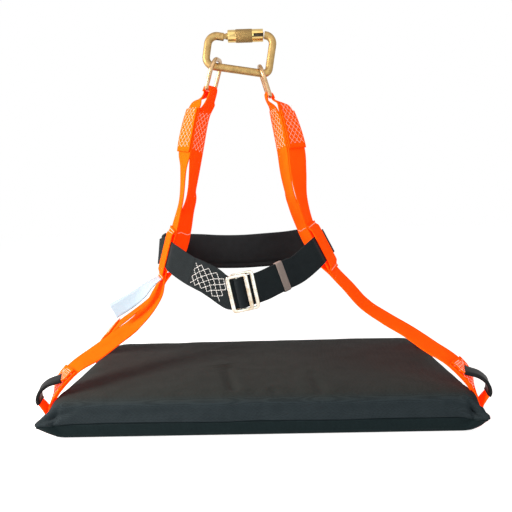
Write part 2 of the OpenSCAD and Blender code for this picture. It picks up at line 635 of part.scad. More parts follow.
module karabiner_body() {
    a = kar_a;
    color("#b89a5c") in_kar() difference() {
        rod([[pin_l[0] + 4.5, pin_l[1]], [-a, pin_l[1]], [-a, spine_z], [a, spine_z],
             [a, nose_l[1]], nose_l], [0, 14, 14, 9, 13, 0], kar_r);
        translate([pin_l[0] - 7, -2.6, pin_l[1] - 12]) cube([20, 5.2, 24]);
        translate([pin_l[0], 0, pin_l[1]]) rotate([90, 0, 0]) cylinder(r = pin_r, h = 40, center = true);
    }
}

module karabiner_gate() {
    color("#b89a5c") in_gate() difference() {
        union() {
            rotate([90, 0, 0]) cylinder(r = 4.6, h = 4.4, center = true);
            translate([0, -2.2, -3.6]) cube([12, 4.4, 7.2]);
            translate([8, 0, 0]) rotate([0, 90, 0]) cylinder(r = gate_r, h = gate_len - 8);
        }
        rotate([90, 0, 0]) cylinder(r = pin_r + 0.08, h = 20, center = true);
    }
}

module gate_pin() {
    color("silver") in_gate() rotate([90, 0, 0]) cylinder(r = pin_r, h = 2 * kar_r - 2, center = true);
}

module locking_sleeve() {
    color("#c2a366") in_gate() translate([lock_x, 0, 0]) rotate([0, 90, 0]) difference() {
        cylinder(r = lock_r, h = lock_len);
        translate([0, 0, -1]) cylinder(r = gate_r + lock_play, h = lock_len + 2);
        translate([0, 0, lock_len - 7]) rotate([0, 0, 200]) translate([0, -2.5, 0]) cube([20, 5, 10]);
    }
}

module belt_web() {
    color("#2b2f30") sweep(belt_s, oblong(belt_w, belt_t));
}

function lens(w, t) = [for (k = [0 : 13]) let (a = 360 * (k + 0.5) / 14, c = cos(a), s = sin(a))
    [w / 2 * sign(c) * pow(abs(c), 0.45), t / 2 * sign(s) * pow(abs(s), 0.6)]];
module back_pad() {
    color("#25282a") sweep(pad_s, lens(pad_h, pad_t));
}

keep_at = 44;
module belt_keeper() {
    t_in = 2 * belt_t + web_gap + 0.8;
    h_in = belt_w + 0.8;
    color("#85736d") placed(run_o + keep_at * run_d + bl / 2 * run_n, run_d, run_n, run_u) difference() {
        cube([keep_len, t_in + 2.4, h_in + 2.4], center = true);
        cube([keep_len + 2, t_in, h_in], center = true);
    }
}

module buckle_female() {
    color("silver") placed(bw(fem_x, fem_y), bux, [0, 1, 0], buz) rotate([90, 0, 0])
        linear_extrude(frame_t, center = true) difference() {
            round_rect(fem_w, frame_h + 3, 6);
            round_rect(fem_w - 2 * limb_w, frame_h + 3 - 2 * end_w, 3);
        }
}

module buckle_male() {
    color("silver") placed(bw(0, bar_y), bux, [0, 1, 0], buz) difference() {
        rotate([90, 0, 0]) linear_extrude(frame_t, center = true) difference() {
            round_rect(male_w, frame_h, 6);
            round_rect(2 * male_in, frame_h - 2 * end_w, 2);
        }
        cylinder(r = bar_r / 2, h = frame_h + 2, center = true);
    }
}

module buckle_bar() {
    color("silver") placed(bw(0, bar_y), bux, [0, 1, 0], buz) {
        cylinder(r = bar_r, h = frame_h - 2 * end_w - 0.1, center = true);
        cylinder(r = bar_r / 2, h = frame_h - 3, center = true);
    }
}

seat_board();
seat_foam();
seat_cover_top();
seat_cover_base();
front_sling();
rear_sling();
strap_left();
strap_right();
eye_patch_left();
eye_patch_right();
belt_loop_left();
belt_loop_right();
tool_loop_left();
tool_loop_right();
tool_sleeve_left();
tool_sleeve_right();
care_label();
ring_left();
ring_right();
karabiner_body();
karabiner_gate();
gate_pin();
locking_sleeve();
belt_web();
back_pad();
belt_keeper();
buckle_female();
buckle_male();
buckle_bar();
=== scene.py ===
"""Looks of a bosun's chair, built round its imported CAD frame.

It runs as a script. It is laid out as an add-on, so that its sizes and colours can be changed in the sidebar.
Routes are in millimetres in the part's own frame, as in the part's source, and become metres in a mesh.
"""

import math

import bmesh
import bpy
import numpy as np
from bpy.props import FloatProperty, FloatVectorProperty, PointerProperty
from mathutils import Matrix, Vector, noise


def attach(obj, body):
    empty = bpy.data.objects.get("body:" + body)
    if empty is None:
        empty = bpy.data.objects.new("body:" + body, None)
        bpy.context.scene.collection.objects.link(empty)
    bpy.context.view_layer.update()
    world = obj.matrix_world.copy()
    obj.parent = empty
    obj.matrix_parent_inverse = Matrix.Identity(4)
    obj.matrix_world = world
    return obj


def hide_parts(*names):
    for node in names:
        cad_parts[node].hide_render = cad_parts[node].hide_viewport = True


bl_info = {
    "name": "Bosun's chair",
    "version": (1, 0, 0),
    "blender": (4, 5, 0),
    "location": "View3D > Sidebar > Chair",
    "description": "Webbing, cushion, belt, buckle and karabiner of a bosun's chair",
    "category": "Object",
}

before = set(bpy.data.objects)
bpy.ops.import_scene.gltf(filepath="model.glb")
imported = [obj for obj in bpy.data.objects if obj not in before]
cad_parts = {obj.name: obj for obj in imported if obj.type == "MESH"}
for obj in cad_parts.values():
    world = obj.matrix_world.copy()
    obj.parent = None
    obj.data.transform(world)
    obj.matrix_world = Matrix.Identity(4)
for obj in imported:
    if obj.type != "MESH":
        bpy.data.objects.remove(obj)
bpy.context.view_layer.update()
MM = 0.001

# Sizes of the CAD part that the routes follow, in millimetres, first those of the seat
HALF_X, HALF_Y = 303.0, 152.0
SEAM_Z, SLING_Z, BOARD_X = 22.8, 3.1, 277.0
COVER_TOP = SEAM_Z + 40.8
SEAT_MID_Z = 60.0
FRONT_Y, REAR_Y = -114.0, 84.0
SIDE_X = HALF_X + 1.2

# Webs, belt, pad, tool loops and label
WEB_W, WEB_T, WEB_GAP, LAP = 45.0, 2.4, 0.5, 2.9
BELT_Z, BELT_SAG = 246.0, 12.0
BELT_OUT = WEB_T + WEB_GAP
LOOP_OUT = BELT_OUT + WEB_T + WEB_GAP + 0.3
PATCH_OUT = LAP + 0.3
PAD_H, PAD_T, TOOL_W, SLEEVE_T, LABEL_W = 64.0, 10.0, 22.0, 1.25, 25.0

# Rings, karabiner and its turning sleeve, whose knurled barrel lies between two places along it
RING_R, RING_DROP = 3.25, 36.0
KAR_MID, KAR_TILT, KAR_HALF, SPINE_Z = np.array([-22.0, -5.0, 566.5]), math.radians(10), 51.0, -28.5
GATE_PIN = np.array([-50.3014, -5.0, 590.276])
GATE_DIP = math.radians(0.4011)
LOCK_X, LOCK_LEN, LOCK_R = 11.0, 55.97, 10.0
BARREL = (12.5, 38.9)

# Buckle, with the directions across and up its frames
BUCKLE_MID, BUCKLE_TILT = np.array([-28.0, -91.0, 193.0]), math.radians(-11)
BUCKLE_X = np.array([math.cos(BUCKLE_TILT), 0, -math.sin(BUCKLE_TILT)])
BUCKLE_Z = np.array([math.sin(BUCKLE_TILT), 0, math.cos(BUCKLE_TILT)])
BAR_Y, BAR_R, FRAME_T, LIMB_W, END_W, FRAME_CORNER = -4.5, 2.0, 3.0, 6.0, 4.5, 6.0
FEMALE_X, FEMALE_Y, FEMALE_W, MALE_W = 7.0, 4.0, 37.0, 33.0
FRAME_H = WEB_W + 2 * END_W + 2

# Sewing: heights of the rear eyes' fields and the inner legs' seams, lengths, and threads by their share
REAR_EYE_Z, INNER_SEAM_Z = 478, BELT_Z + 33
EYE_SEWN, SEAM_HALF = 64, 20.5
FIELD_THREAD, BOX_THREAD = 0.75, 1.15
# Distance of stitches as a share of their length, and the gap at each end as a share of that distance
STITCH_PITCH, STITCH_GAP = 1.22, 0.08

# Cover: steps round a corner and along a long and a short side, and the ear that is tugged out
CORNER_STEPS, SIDE_STEPS = 16, (150, 64)
EAR_AT, EAR_PULL, EAR_REACH = np.array([-308.0, -150.0, SEAM_Z]), 7.5, 17

# Points that a smooth route gets in each span, points cut off a strap's ends, and those under a tool sleeve
FINE, COARSE, SLING_FINE, BELT_FINE, LABEL_FINE = 12, 4, 8, 9, 14
STRAP_TRIM, SLEEVE_SPAN = 6, (25, 64)

# Spans of a strap from its front end to the belt and to the eye, and from its rear end up to the belt
CROSS_SPAN, EYE_SPAN, INNER_SPAN = 10, 17, 9

# Way round the keeper in metres, for its ribs
KEEPER_ROUND = 0.11

# Camera of the picture: its place, its yaw, pitch and roll in degrees, and its focal length in pixels
CAMERA_MM = np.array([14.93, -775.88, 310.0])
CAMERA_TURN = (-1.469, -5.246, -1.687)
FOCAL_PX, PICTURE_PX, SENSOR_W = 468.4, 512, 36.0

# Sides with the sign of the way out of a strap's face, and the signs that mirror a station
SIDES = (("left", 1), ("right", -1))
MIRROR = np.array([-1, 1, 1, -1, 1, 1])


def linear(hex_colour):
    """sRGB hex to linear red, green and blue."""
    parts = [int(hex_colour[i:i + 2], 16) / 255 for i in (1, 3, 5)]
    return [c / 12.92 if c <= 0.04045 else ((c + 0.055) / 1.055) ** 2.4 for c in parts]


def unit(v):
    v = np.asarray(v, float)
    return v / np.linalg.norm(v)


def square_to(v, e):
    v = np.asarray(v, float)
    return unit(v - (v @ e) * e)


def stop(point, wide):
    """One station of a web: its middle point and the direction across it."""
    return np.hstack([np.asarray(point, float), np.asarray(wide, float)])


def between(a, b, c, d, f):
    """Point at share f from b to c on the centripetal spline through four stations."""
    def gap(p, q):
        return math.sqrt(max(np.linalg.norm(q[:3] - p[:3]), 0.001))

    def mix(p, q, tp, tq, t):
        return ((tq - t) * p + (t - tp) * q) / (tq - tp)

    t1 = gap(a, b)
    t2 = t1 + gap(b, c)
    t3 = t2 + gap(c, d)
    t = t1 + f * (t2 - t1)
    a1, a2, a3 = mix(a, b, 0, t1, t), mix(b, c, t1, t2, t), mix(c, d, t2, t3, t)
    return mix(mix(a1, a2, 0, t2, t), mix(a2, a3, t1, t3, t), t1, t2, t)


def smooth(stops, n):
    """Stations along a smooth line through the stops, n to each span."""
    s = np.array(stops)
    s = np.vstack([2 * s[0] - s[1], s, 2 * s[-1] - s[-2]])
    out = [between(s[i - 1], s[i], s[i + 1], s[i + 2], j / n) for i in range(1, len(s) - 2) for j in range(n)]
    return np.array(out + [s[-2]])


class Web:
    """A flat web's route: middle points, directions across it and out of its face, and the run along it."""

    def __init__(self, stations):
        s = np.asarray(stations, float)
        self.stations = s
        self.pos = s[:, :3]
        ends = np.vstack([2 * self.pos[0] - self.pos[1], self.pos, 2 * self.pos[-1] - self.pos[-2]])
        along = ends[2:] - ends[:-2]
        self.along = along / np.linalg.norm(along, axis=1)[:, None]
        wide = s[:, 3:] - (s[:, 3:] * self.along).sum(1)[:, None] * self.along
        self.wide = wide / np.linalg.norm(wide, axis=1)[:, None]
        self.face = np.cross(self.along, self.wide)
        self.run = np.hstack([0, np.cumsum(np.linalg.norm(np.diff(self.pos, axis=0), axis=1))])

    def moved(self, off):
        """The same web moved out of its face, by one distance or by one for each station."""
        off = np.asarray(off, float)
        off = off[:, None] if off.ndim else off
        return Web(np.hstack([self.pos + off * self.face, self.wide]))

    def part(self, first, last):
        return Web(self.stations[first:last + 1])

    def turned(self):
        return Web(self.stations[::-1])

    def mirrored(self):
        return Web(self.stations * MIRROR)

    def at(self, v, u, lift):
        """Point at run v, u across from the middle, lift out of the face."""
        i = int(np.clip(np.searchsorted(self.run, v) - 1, 0, len(self.run) - 2))
        f = (v - self.run[i]) / (self.run[i + 1] - self.run[i])
        pos, wide, face = ((1 - f) * a[i] + f * a[i + 1] for a in (self.pos, self.wide, self.face))
        return pos + u * unit(wide) + lift * unit(face)

    def towards(self, eye):
        """1 where the face looks to that point, else -1, taken half way along."""
        i = len(self.pos) // 2
        return 1.0 if (np.asarray(eye) - self.pos[i]) @ self.face[i] > 0 else -1.0

    def outward(self, i):
        """1 where the face looks away from the seat's middle line at station i, else -1."""
        out = self.pos[i] - np.array([0, self.pos[i][1], SEAT_MID_Z])
        return 1.0 if out @ self.face[i] > 0 else -1.0


def mirror_stops(stops):
    return [s * MIRROR for s in stops]


def buckle_point(x, y):
    return BUCKLE_MID + x * BUCKLE_X + np.array([0, y, 0])


# Where the belt crosses a strap: the place, the ways up and across the strap, and the way in to the waist
CROSS_L, CROSS_R = np.array([-154.0, 15, BELT_Z]), np.array([105.5, 15, BELT_Z + 4])
UP_L, UP_R = unit([0.28, 0, 0.96]), unit([-0.45, 0, 0.9])
WIDE_L, WIDE_R = square_to([-0.38, 0.925, 0], UP_L), square_to([0.42, 0.907, 0], UP_R)
IN_L, IN_R = np.cross(WIDE_L, UP_L), np.cross(UP_R, WIDE_R)


def past_belt(cross, up, wide):
    return [stop(cross + k * up, wide) for k in (-44, -28, 0, 28, 44)]


def ring_eye(x, up, bar, way):
    """Stations of a strap round the lower bend of the ring that hangs from the karabiner's lower bar at x."""
    ct, st = math.cos(KAR_TILT), math.sin(KAR_TILT)
    hung = KAR_MID + np.array([x * ct + SPINE_Z * st, 0, SPINE_Z * ct - x * st])
    mid = hung - RING_DROP * up
    out = way * np.cross(up, bar)
    r = RING_R + WEB_GAP + WEB_T / 2
    turn = [math.radians(a) for a in range(0, 181, 30)]
    return ([stop(mid + (r + 0.8) * out - 8 * up, bar)]
            + [stop(mid + r * (math.cos(a) * out + math.sin(a) * up), bar) for a in turn]
            + [stop(mid - (r + 0.4) * out - 7 * up, bar)])


def left_strap():
    """Stations of the left strap: up its front leg, over the ring and down its rear leg."""
    x, y, z = -SIDE_X, FRONT_Y, SEAM_Z
    front = [
        stop([x - 0.6, y - 2, z + 21], [-0.25, 0.97, 0]), stop([x + 6, y + 2, z + 41], [-0.5, 0.86, 0]),
        stop([x + 22, y + 14, z + 62], [-0.66, 0.75, 0]), stop([x + 46, y + 40, z + 76.5], [-0.5, 0.84, 0.2]),
        stop([x + 70, y + 67, z + 92.5], [-0.43, 0.88, 0.22]),
        stop([-210, -19, 132.5], [-0.42, 0.88, 0.22]), stop([-188.5, -1, 155], [-0.43, 0.88, 0.2]),
        stop([-175, 10, 179], [-0.47, 0.86, 0.2]), *past_belt(CROSS_L, UP_L, WIDE_L),
        stop([-127, 6, 334], [-0.3, 0.95, 0]), stop([-120.5, 5, 388], [-0.38, 0.925, 0]),
        stop([-117, 3, 413], [-0.58, 0.81, 0]), stop([-101, 3, 476], [-0.56, 0.82, 0]),
        stop([-93, 4, 493], [-0.5, 0.86, 0.05])]
    up = unit([0.315, -0.225, 0.92])
    eye = ring_eye(18 - KAR_HALF, up, square_to([0.12, 0.98, 0.1], up), 1)
    y = REAR_Y
    rear = [
        stop([-74, 7, 490], [0.18, 0.975, 0.1]), stop([-85.5, 16.5, 474], [0.3, 0.954, 0]),
        stop([-99.5, 16.5, 413], [0.3, 0.954, 0]), stop([-110.5, 13, 345], [0.12, 0.99, 0]),
        stop([-121.5, 30, 314], [0.32, 0.947, 0]), stop([-129, 31, 281], [0.38, 0.925, 0]),
        stop([-137, 31, 248], [0.3, 0.954, 0]), stop([-148, 25, 220], [0, 1, 0]),
        stop(CROSS_L - 44 * UP_L + LAP * IN_L, WIDE_L), stop([-175.5, 23.5, 186], [-0.42, 0.9, 0]),
        stop([-186, 42, 173], [-0.3, 0.95, 0]), stop([-200, 52, 160], [-0.25, 0.97, 0]),
        stop([x + 72, y - 36, z + 113], [-0.25, 0.97, 0]), stop([x + 38, y - 24, z + 88], [-0.25, 0.97, 0]),
        stop([x + 12, y - 10, z + 64], [-0.12, 0.99, 0]), stop([x + 1, y - 2, z + 38], [0, 1, 0]),
        stop([x - 0.6, y, z + 18], [0, 1, 0])]
    return front + eye + rear


def right_strap(left):
    """Stations of the right strap, whose ends mirror those of the left one."""
    x, y, z = SIDE_X, FRONT_Y, SEAM_Z
    front = mirror_stops(left[:3]) + [
        stop([x - 46, y + 39, z + 77.5], [0.54, 0.83, 0.12]),
        stop([x - 70, y + 66, z + 93.6], [0.47, 0.87, 0.14]),
        stop([203.5, -22, 133.7], [0.46, 0.87, 0.16]), stop([172.8, -4, 154.6], [0.45, 0.88, 0.14]),
        stop([150, 8, 181], [0.47, 0.87, 0.12]), *past_belt(CROSS_R, UP_R, WIDE_R),
        stop([74, 10, 334], [0.45, 0.89, 0]), stop([69, 5, 375], [0.62, 0.78, 0]),
        stop([66, 3, 413], [0.66, 0.75, 0]), stop([52, 3, 468], [0.56, 0.82, 0]),
        stop([45.3, 4, 484], [0.46, 0.88, 0.05])]
    up = unit([-0.3, -0.28, 0.91])
    eye = ring_eye(KAR_HALF - 10.5, up, square_to([0, 1, 0.05], up), -1)
    y = REAR_Y
    rear = [
        stop([29.5, 9, 478], [-0.2, 0.965, 0.1]), stop([34, 12.5, 464], [-0.3, 0.954, 0]),
        stop([43, 12, 413], [-0.32, 0.947, 0]), stop([47.5, 14, 375], [-0.3, 0.954, 0]),
        stop([54, 16, 341], [-0.25, 0.968, 0]), stop([62, 26, 318], [-0.33, 0.944, 0]),
        stop([75, 36.5, 288], [-0.45, 0.893, 0]), stop([88, 36, 255], [-0.35, 0.937, 0]),
        stop([101, 27, 226], [-0.05, 1, 0]), stop(CROSS_R - 44 * UP_R + LAP * IN_R, WIDE_R),
        stop([151, 21, 180], [0.42, 0.9, 0]), stop([190, 44, 147], [0.22, 0.975, 0]),
        stop([x - 75, y - 36, z + 91], [0.25, 0.97, 0]), stop([x - 42, y - 24, z + 67], [0.25, 0.97, 0]),
        stop([x - 14, y - 10, z + 51], [0.12, 0.99, 0])]
    return front + eye + rear + mirror_stops(left[-2:])


def legs(stops, front_out, rear_out):
    """The lowest stretches of a strap, front and rear, moved out to where the slings lie on them."""
    web = Web(smooth(stops, COARSE))
    last = len(web.pos) - 1
    rear = web.part(last - 3 * COARSE, last).turned()
    return web.part(0, 2 * COARSE).moved(front_out), rear.moved(rear_out)


def sling(y, left, right):
    """A sling under the board, from the right leg, given as mirrored, to the left one."""
    under = [(0, y, SLING_Z), (-BOARD_X / 2, y, SLING_Z), (2 - BOARD_X, y, SLING_Z),
             (-BOARD_X - 7, y, SLING_Z + 0.4), (10 - HALF_X, y, SLING_Z + 4.5),
             (1.5 - HALF_X, y, SLING_Z + 10.5), (-HALF_X - 3.4, y - 0.5, SEAM_Z + 2)]
    half = [stop(point, [0, 1, 0]) for point in under]
    there = mirror_stops(half[1:] + list(right.stations[::2]))
    return Web(smooth(there[::-1] + half + list(left.stations[::2]), SLING_FINE))


def tool_loop(leg):
    """The left tool loop: sewn on the front leg, bowed out and sewn again at the seat's corner."""
    x, y, z = -SIDE_X, FRONT_Y, SEAM_Z
    stops = [stop(leg.pos[i] + (LAP + 0.9) * leg.face[i] - 9 * leg.wide[i], leg.wide[i]) for i in (8, 7, 6)]
    stops += [stop([x - 6, y - 8, z + 49.5], [-0.4, 0.92, 0]),
              stop([x - 14.5, y - 13, z + 41], [-0.3, 0.95, 0]),
              stop([x - 16.5, y - 14, z + 29], [-0.2, 0.98, 0]),
              stop([x - 10.6, y - 12, z + 17.5], [-0.1, 0.99, 0]),
              stop([-HALF_X - 4.4 - LAP, y - 11, z + 9], [-0.04, 1, 0]),
              stop([-HALF_X - 3.8 - LAP, y - 11, z + 2], [0, 1, 0])]
    return Web(smooth(stops, FINE))


def label_route():
    """The label, from the left belt loop, where it is sewn in, down and out."""
    off = LAP + WEB_T / 2 + 0.8 + 0.3
    stops = [stop(CROSS_L - 43 * UP_L - off * IN_L - 6 * WIDE_L, -WIDE_L),
             stop([-186.5, -0.5, BELT_Z - 52], [0.5, -0.78, -0.3]),
             stop([-200.5, -7.5, BELT_Z - 65], [0.62, -0.5, -0.6]),
             stop([-219, -15, BELT_Z - 78], [0.62, -0.3, -0.7]),
             stop([-242, -22, BELT_Z - 91], [0.6, -0.22, -0.76])]
    return Web(smooth(stops, LABEL_FINE))


def belt_routes():
    """The belt from its sewn end behind the left web, round the waist, to the free end under the keeper."""
    run_o = buckle_point(30, 9.4)
    run_d = unit(CROSS_R - BELT_OUT * IN_R - 40 * WIDE_R - np.array([0, 0, BELT_SAG]) - run_o)
    run_u = square_to([-0.25, 0, 0.97], run_d)
    run_n = np.cross(run_u, run_d)
    lay = WEB_T + WEB_GAP
    eye_y = FRAME_T / 2 + WEB_GAP + WEB_T / 2
    wrap = BAR_R + WEB_GAP + WEB_T / 2
    fx, fy = FEMALE_X - 12.5, FEMALE_Y
    near, far = [0.08, 0, 0.997], [0, 0, 1]
    steps = (-40, -28, 0, 28, 40)

    def on_buckle(*places):
        return [stop(buckle_point(x, y), BUCKLE_Z) for x, y in places]

    def on_run(out, *places):
        return [stop(run_o + k * run_d + out * run_n, run_u) for k in places]

    stops = [stop([-85.5, -70.7 + lay, 216], [0.36, 0, 0.93]),
             stop(BUCKLE_MID + np.array([-28, 7 + lay, 5]), near)]
    stops += on_buckle(
        (-15, fy + eye_y + 1.7), (fx - 3, fy + eye_y + 0.2), (fx + 0.7, fy + eye_y - 0.1),
        (fx + 2.3, fy + eye_y / 2), (fx + 2.5, fy), (fx + 2.3, fy - eye_y / 2),
        (fx + 0.7, fy - eye_y + 0.1), (fx - 3, fy - eye_y - 0.15), (-15, fy - eye_y - 0.2))
    stops += [stop(BUCKLE_MID + np.array([-28, 5.6, 5]), near), stop([-69, -79, 208], [0.3, 0, 0.95]),
              stop([-88, -70, 217], [0.36, 0, 0.93]), stop([-111, -49, 225], [0.3, 0, 0.95])]
    stops += [stop(CROSS_L - BELT_OUT * IN_L + k * WIDE_L, UP_L) for k in steps]
    stops += [stop([-183, 72, BELT_Z - 1], [0.12, 0, 0.99]), stop([-176, 97, BELT_Z - 2], [0.05, 0, 1])]
    stops += [stop([x, y, BELT_Z + z], far) for x, y, z in (
        (-154, 115, -3), (-116, 124, -5), (-80, 130, -8), (-35, 132, -9), (10, 130, -7), (55, 123, -4),
        (84, 110, 0))]
    stops += [stop([103, 97, BELT_Z + 3], [-0.12, 0, 1]), stop([117, 76, BELT_Z + 4], [-0.25, 0, 0.97])]
    stops += [stop(CROSS_R - BELT_OUT * IN_R - k * WIDE_R, UP_R) for k in steps]
    stops += on_run(0, 75, 50, 25, 8)
    stops += on_buckle(
        (22, 7.4), (17.4, 6.2), (12, 1.4), (8.4, -1), (4.6, BAR_Y - wrap + 1.6), (1.6, BAR_Y - wrap),
        (-wrap * 0.6, BAR_Y - wrap * 0.85), (-wrap - 0.1, BAR_Y), (-wrap * 0.6, BAR_Y + wrap * 0.85),
        (1.4, BAR_Y + wrap + 0.2), (5.4, 1.2 + WEB_GAP), (9.4, 2.8 + lay / 4), (12.2, 2.6 + lay),
        (16.6, 7.8 + lay), (21.6, 8.2 + lay))
    stops += on_run(lay + 0.4, 8) + on_run(lay, 25, 50, 66)
    belt = Web(smooth(stops, BELT_FINE))
    pad = belt.moved(PAD_T / 2 + WEB_T / 2 + WEB_GAP + 0.4).part(19 * BELT_FINE + 3, 29 * BELT_FINE)
    return {"belt": belt, "pad": pad, "keeper": (run_o + 44 * run_d + lay / 2 * run_n, run_d, run_n, run_u)}


def chair_routes():
    """All web routes of the chair, from the same stations as the CAD part."""
    left = left_strap()
    right = right_strap(left)
    front_l, rear_l = legs(left, LAP, LAP)
    front_r, rear_r = (leg.mirrored() for leg in legs(right, -LAP, -LAP - 0.5))
    tool = tool_loop(front_l)
    return {"strap_left": Web(smooth(left, FINE)), "strap_right": Web(smooth(right, FINE)),
            "front_sling": sling(FRONT_Y, front_l, front_r), "rear_sling": sling(REAR_Y, rear_l, rear_r),
            "tool_left": tool, "tool_right": tool.mirrored(), "label": label_route(), **belt_routes()}


ROUTES = chair_routes()

# Kinds of property: a length in metres and a colour
LENGTH = {"subtype": "DISTANCE", "unit": "LENGTH"}
TINT = {"subtype": "COLOR", "size": 3, "min": 0, "max": 1}


class ChairSizes(bpy.types.PropertyGroup):
    """Sizes of the finish that a user may change."""

    weave: FloatProperty(
        name="Weave pitch", description="Distance from one thread of the webbing to the next",
        default=0.0013, min=0.0006, max=0.003, **LENGTH)
    cover_weave: FloatProperty(
        name="Cover weave pitch", description="Thread distance of the seat cover's cloth",
        default=0.0011, min=0.0005, max=0.003, **LENGTH)
    thread: FloatProperty(
        name="Thread radius", description="Radius of the sewing thread",
        default=0.00042, min=0.0002, max=0.0008, **LENGTH)
    stitch: FloatProperty(
        name="Stitch length", description="Length of one stitch of the sewing",
        default=0.0031, min=0.0015, max=0.006, **LENGTH)
    crumple: FloatProperty(
        name="Cover crumple", description="Height of the soft waves in the seat cover",
        default=0.0012, min=0.0, max=0.004, **LENGTH)


class ChairColours(bpy.types.PropertyGroup):
    """Colours of the chair's materials."""

    webbing: FloatVectorProperty(
        name="Webbing", description="Fluorescent orange of the straps", default=linear("#FF760A"), **TINT)
    # Painted glow: the webbing's red emission stands partly for its fluorescent dye and keeps its faces in
    # shade bright red
    painted_glow: FloatVectorProperty(
        name="Webbing glow", description="Red that the fluorescent dye gives off",
        default=linear("#FF1404"), **TINT)
    belt: FloatVectorProperty(
        name="Belt", description="Black of the belt's web and pad", default=linear("#2B2F31"), **TINT)
    cover: FloatVectorProperty(
        name="Cover", description="Black of the seat cover", default=linear("#444340"), **TINT)
    zinc: FloatVectorProperty(
        name="Yellow zinc", description="Passivated zinc of the karabiner", default=linear("#B4935E"), **TINT)
    pale_zinc: FloatVectorProperty(
        name="Pale zinc", description="Passivated zinc of the rings", default=linear("#C6A67E"), **TINT)
    steel: FloatVectorProperty(
        name="Bright steel", description="Plated steel of the buckle", default=linear("#DED6CC"), **TINT)
    label: FloatVectorProperty(
        name="Label", description="White of the blank cloth label", default=linear("#C6D4E2"), **TINT)
    elastic: FloatVectorProperty(
        name="Elastic", description="Grey brown of the belt keeper", default=linear("#B0968C"), **TINT)


def node(tree, kind, links=(), stops=(), **settings):
    """Adds a node, or takes a ready one, and sets it up.

    A link is an input and a socket, or a node for its first output. Stops are the places and colours of a
    ramp, its two ends first. A setting is an attribute, or an input's value where its key starts with in_.
    """
    made = tree.nodes.new(kind) if isinstance(kind, str) else kind
    for key, value in settings.items():
        if key.startswith("in_"):
            name = key[3:]
            made.inputs[int(name) if name.isdigit() else name.replace("_", " ")].default_value = value
        else:
            setattr(made, key, value)
    for k, (place, colour) in enumerate(stops):
        ramp = made.color_ramp.elements
        mark = ramp[k] if k < 2 else ramp.new(place)
        mark.position = place
        mark.color = colour
    for name, socket in links:
        tree.links.new(socket.outputs[0] if isinstance(socket, bpy.types.Node) else socket, made.inputs[name])
    return made


def new_material(name):
    """An empty node material under that name; returns its tree, its shader and its coordinates."""
    mat = bpy.data.materials.new(name)
    mat.use_nodes = True
    tree = mat.node_tree
    return tree, tree.nodes["Principled BSDF"], node(tree, "ShaderNodeTexCoord").outputs


def rgba(colour, scale=1.0):
    return [min(1.0, c * scale) for c in colour[:3]] + [1.0]


def wave_scale(pitch):
    """Scale of a Wave texture whose bands lie one pitch apart, in metres."""
    return 2 * math.pi / 20 / pitch


def woven(name, colour, pitch, rough, on_uv=True, painted_glow=None, spec=0.15, contrast=0.72, bump=0.5, painted_shade_tints=None):
    """Woven polyester: crossing threads stand up as a fine grid, and the yarn scatters light softly."""
    tree, shader, coords = new_material(name)
    place = coords["UV" if on_uv else "Object"]
    # A leaning grid lets one pattern weave the cover's flat top and its upright walls alike
    turn = node(tree, "ShaderNodeMapping", [("Vector", place)],
                in_Rotation=(0, 0, 0) if on_uv else (0.62, 0.55, 0))
    warp, weft = (node(tree, "ShaderNodeTexWave", [("Vector", turn)], bands_direction=way,
                       in_Scale=wave_scale(gap), in_Distortion=0.25, in_Detail=0.0).outputs["Fac"]
                  for way, gap in (("X", pitch), ("Y", pitch * 0.8)))
    check = node(tree, "ShaderNodeTexChecker", [("Vector", turn)], in_Scale=1 / pitch)
    grid = node(tree, "ShaderNodeMix", [("Factor", check.outputs["Fac"]), (2, warp), (3, weft)])
    # Three patches of wear to 50 mm
    cloud = node(tree, "ShaderNodeTexNoise", [("Vector", place)], in_Scale=3 / (50 * MM), in_Detail=4.0)
    wear = node(tree, "ShaderNodeMix", [(2, grid), (3, cloud)], in_0=0.45)
    paint = node(tree, "ShaderNodeValToRGB", [("Fac", wear)],
                 [(0.2, rgba(colour, contrast)), (0.75, rgba(colour, 1.08))]).outputs[0]
    relief = node(tree, "ShaderNodeBump", [("Height", grid)], in_Strength=bump, in_Distance=0.0004)
    if painted_shade_tints:
        # Painted light and shade by height: upright cloth gets a cooler tone for the cool light on it, and
        # the panel under the seam is painted the darkest, as shade
        under, side, top = (rgba(linear(tint)) for tint in painted_shade_tints)
        height = node(tree, "ShaderNodeSeparateXYZ", [("Vector", place)]).outputs["Z"]
        rise = node(tree, "ShaderNodeMapRange", [("Value", height)], in_1=0.0, in_2=COVER_TOP * MM)
        tint = node(tree, "ShaderNodeValToRGB", [("Fac", rise)],
                    [(z / COVER_TOP, dye) for z, dye in ((SEAM_Z - 2, under), (COVER_TOP - 6, top),
                                                         (SEAM_Z + 2, side), (COVER_TOP - 16, side))])
        paint = node(tree, "ShaderNodeMix", [(6, paint), (7, tint)], data_type="RGBA", blend_type="MULTIPLY",
                     in_0=1.0).outputs[2]
    node(tree, shader, [("Base Color", paint), ("Normal", relief)], in_Roughness=rough,
         in_Specular_IOR_Level=spec)
    # Painted glow: an emission that keeps faces in shade bright, standing partly for the fluorescent dye
    if painted_glow is not None:
        node(tree, shader, in_Emission_Color=rgba(painted_glow), in_Emission_Strength=0.8)


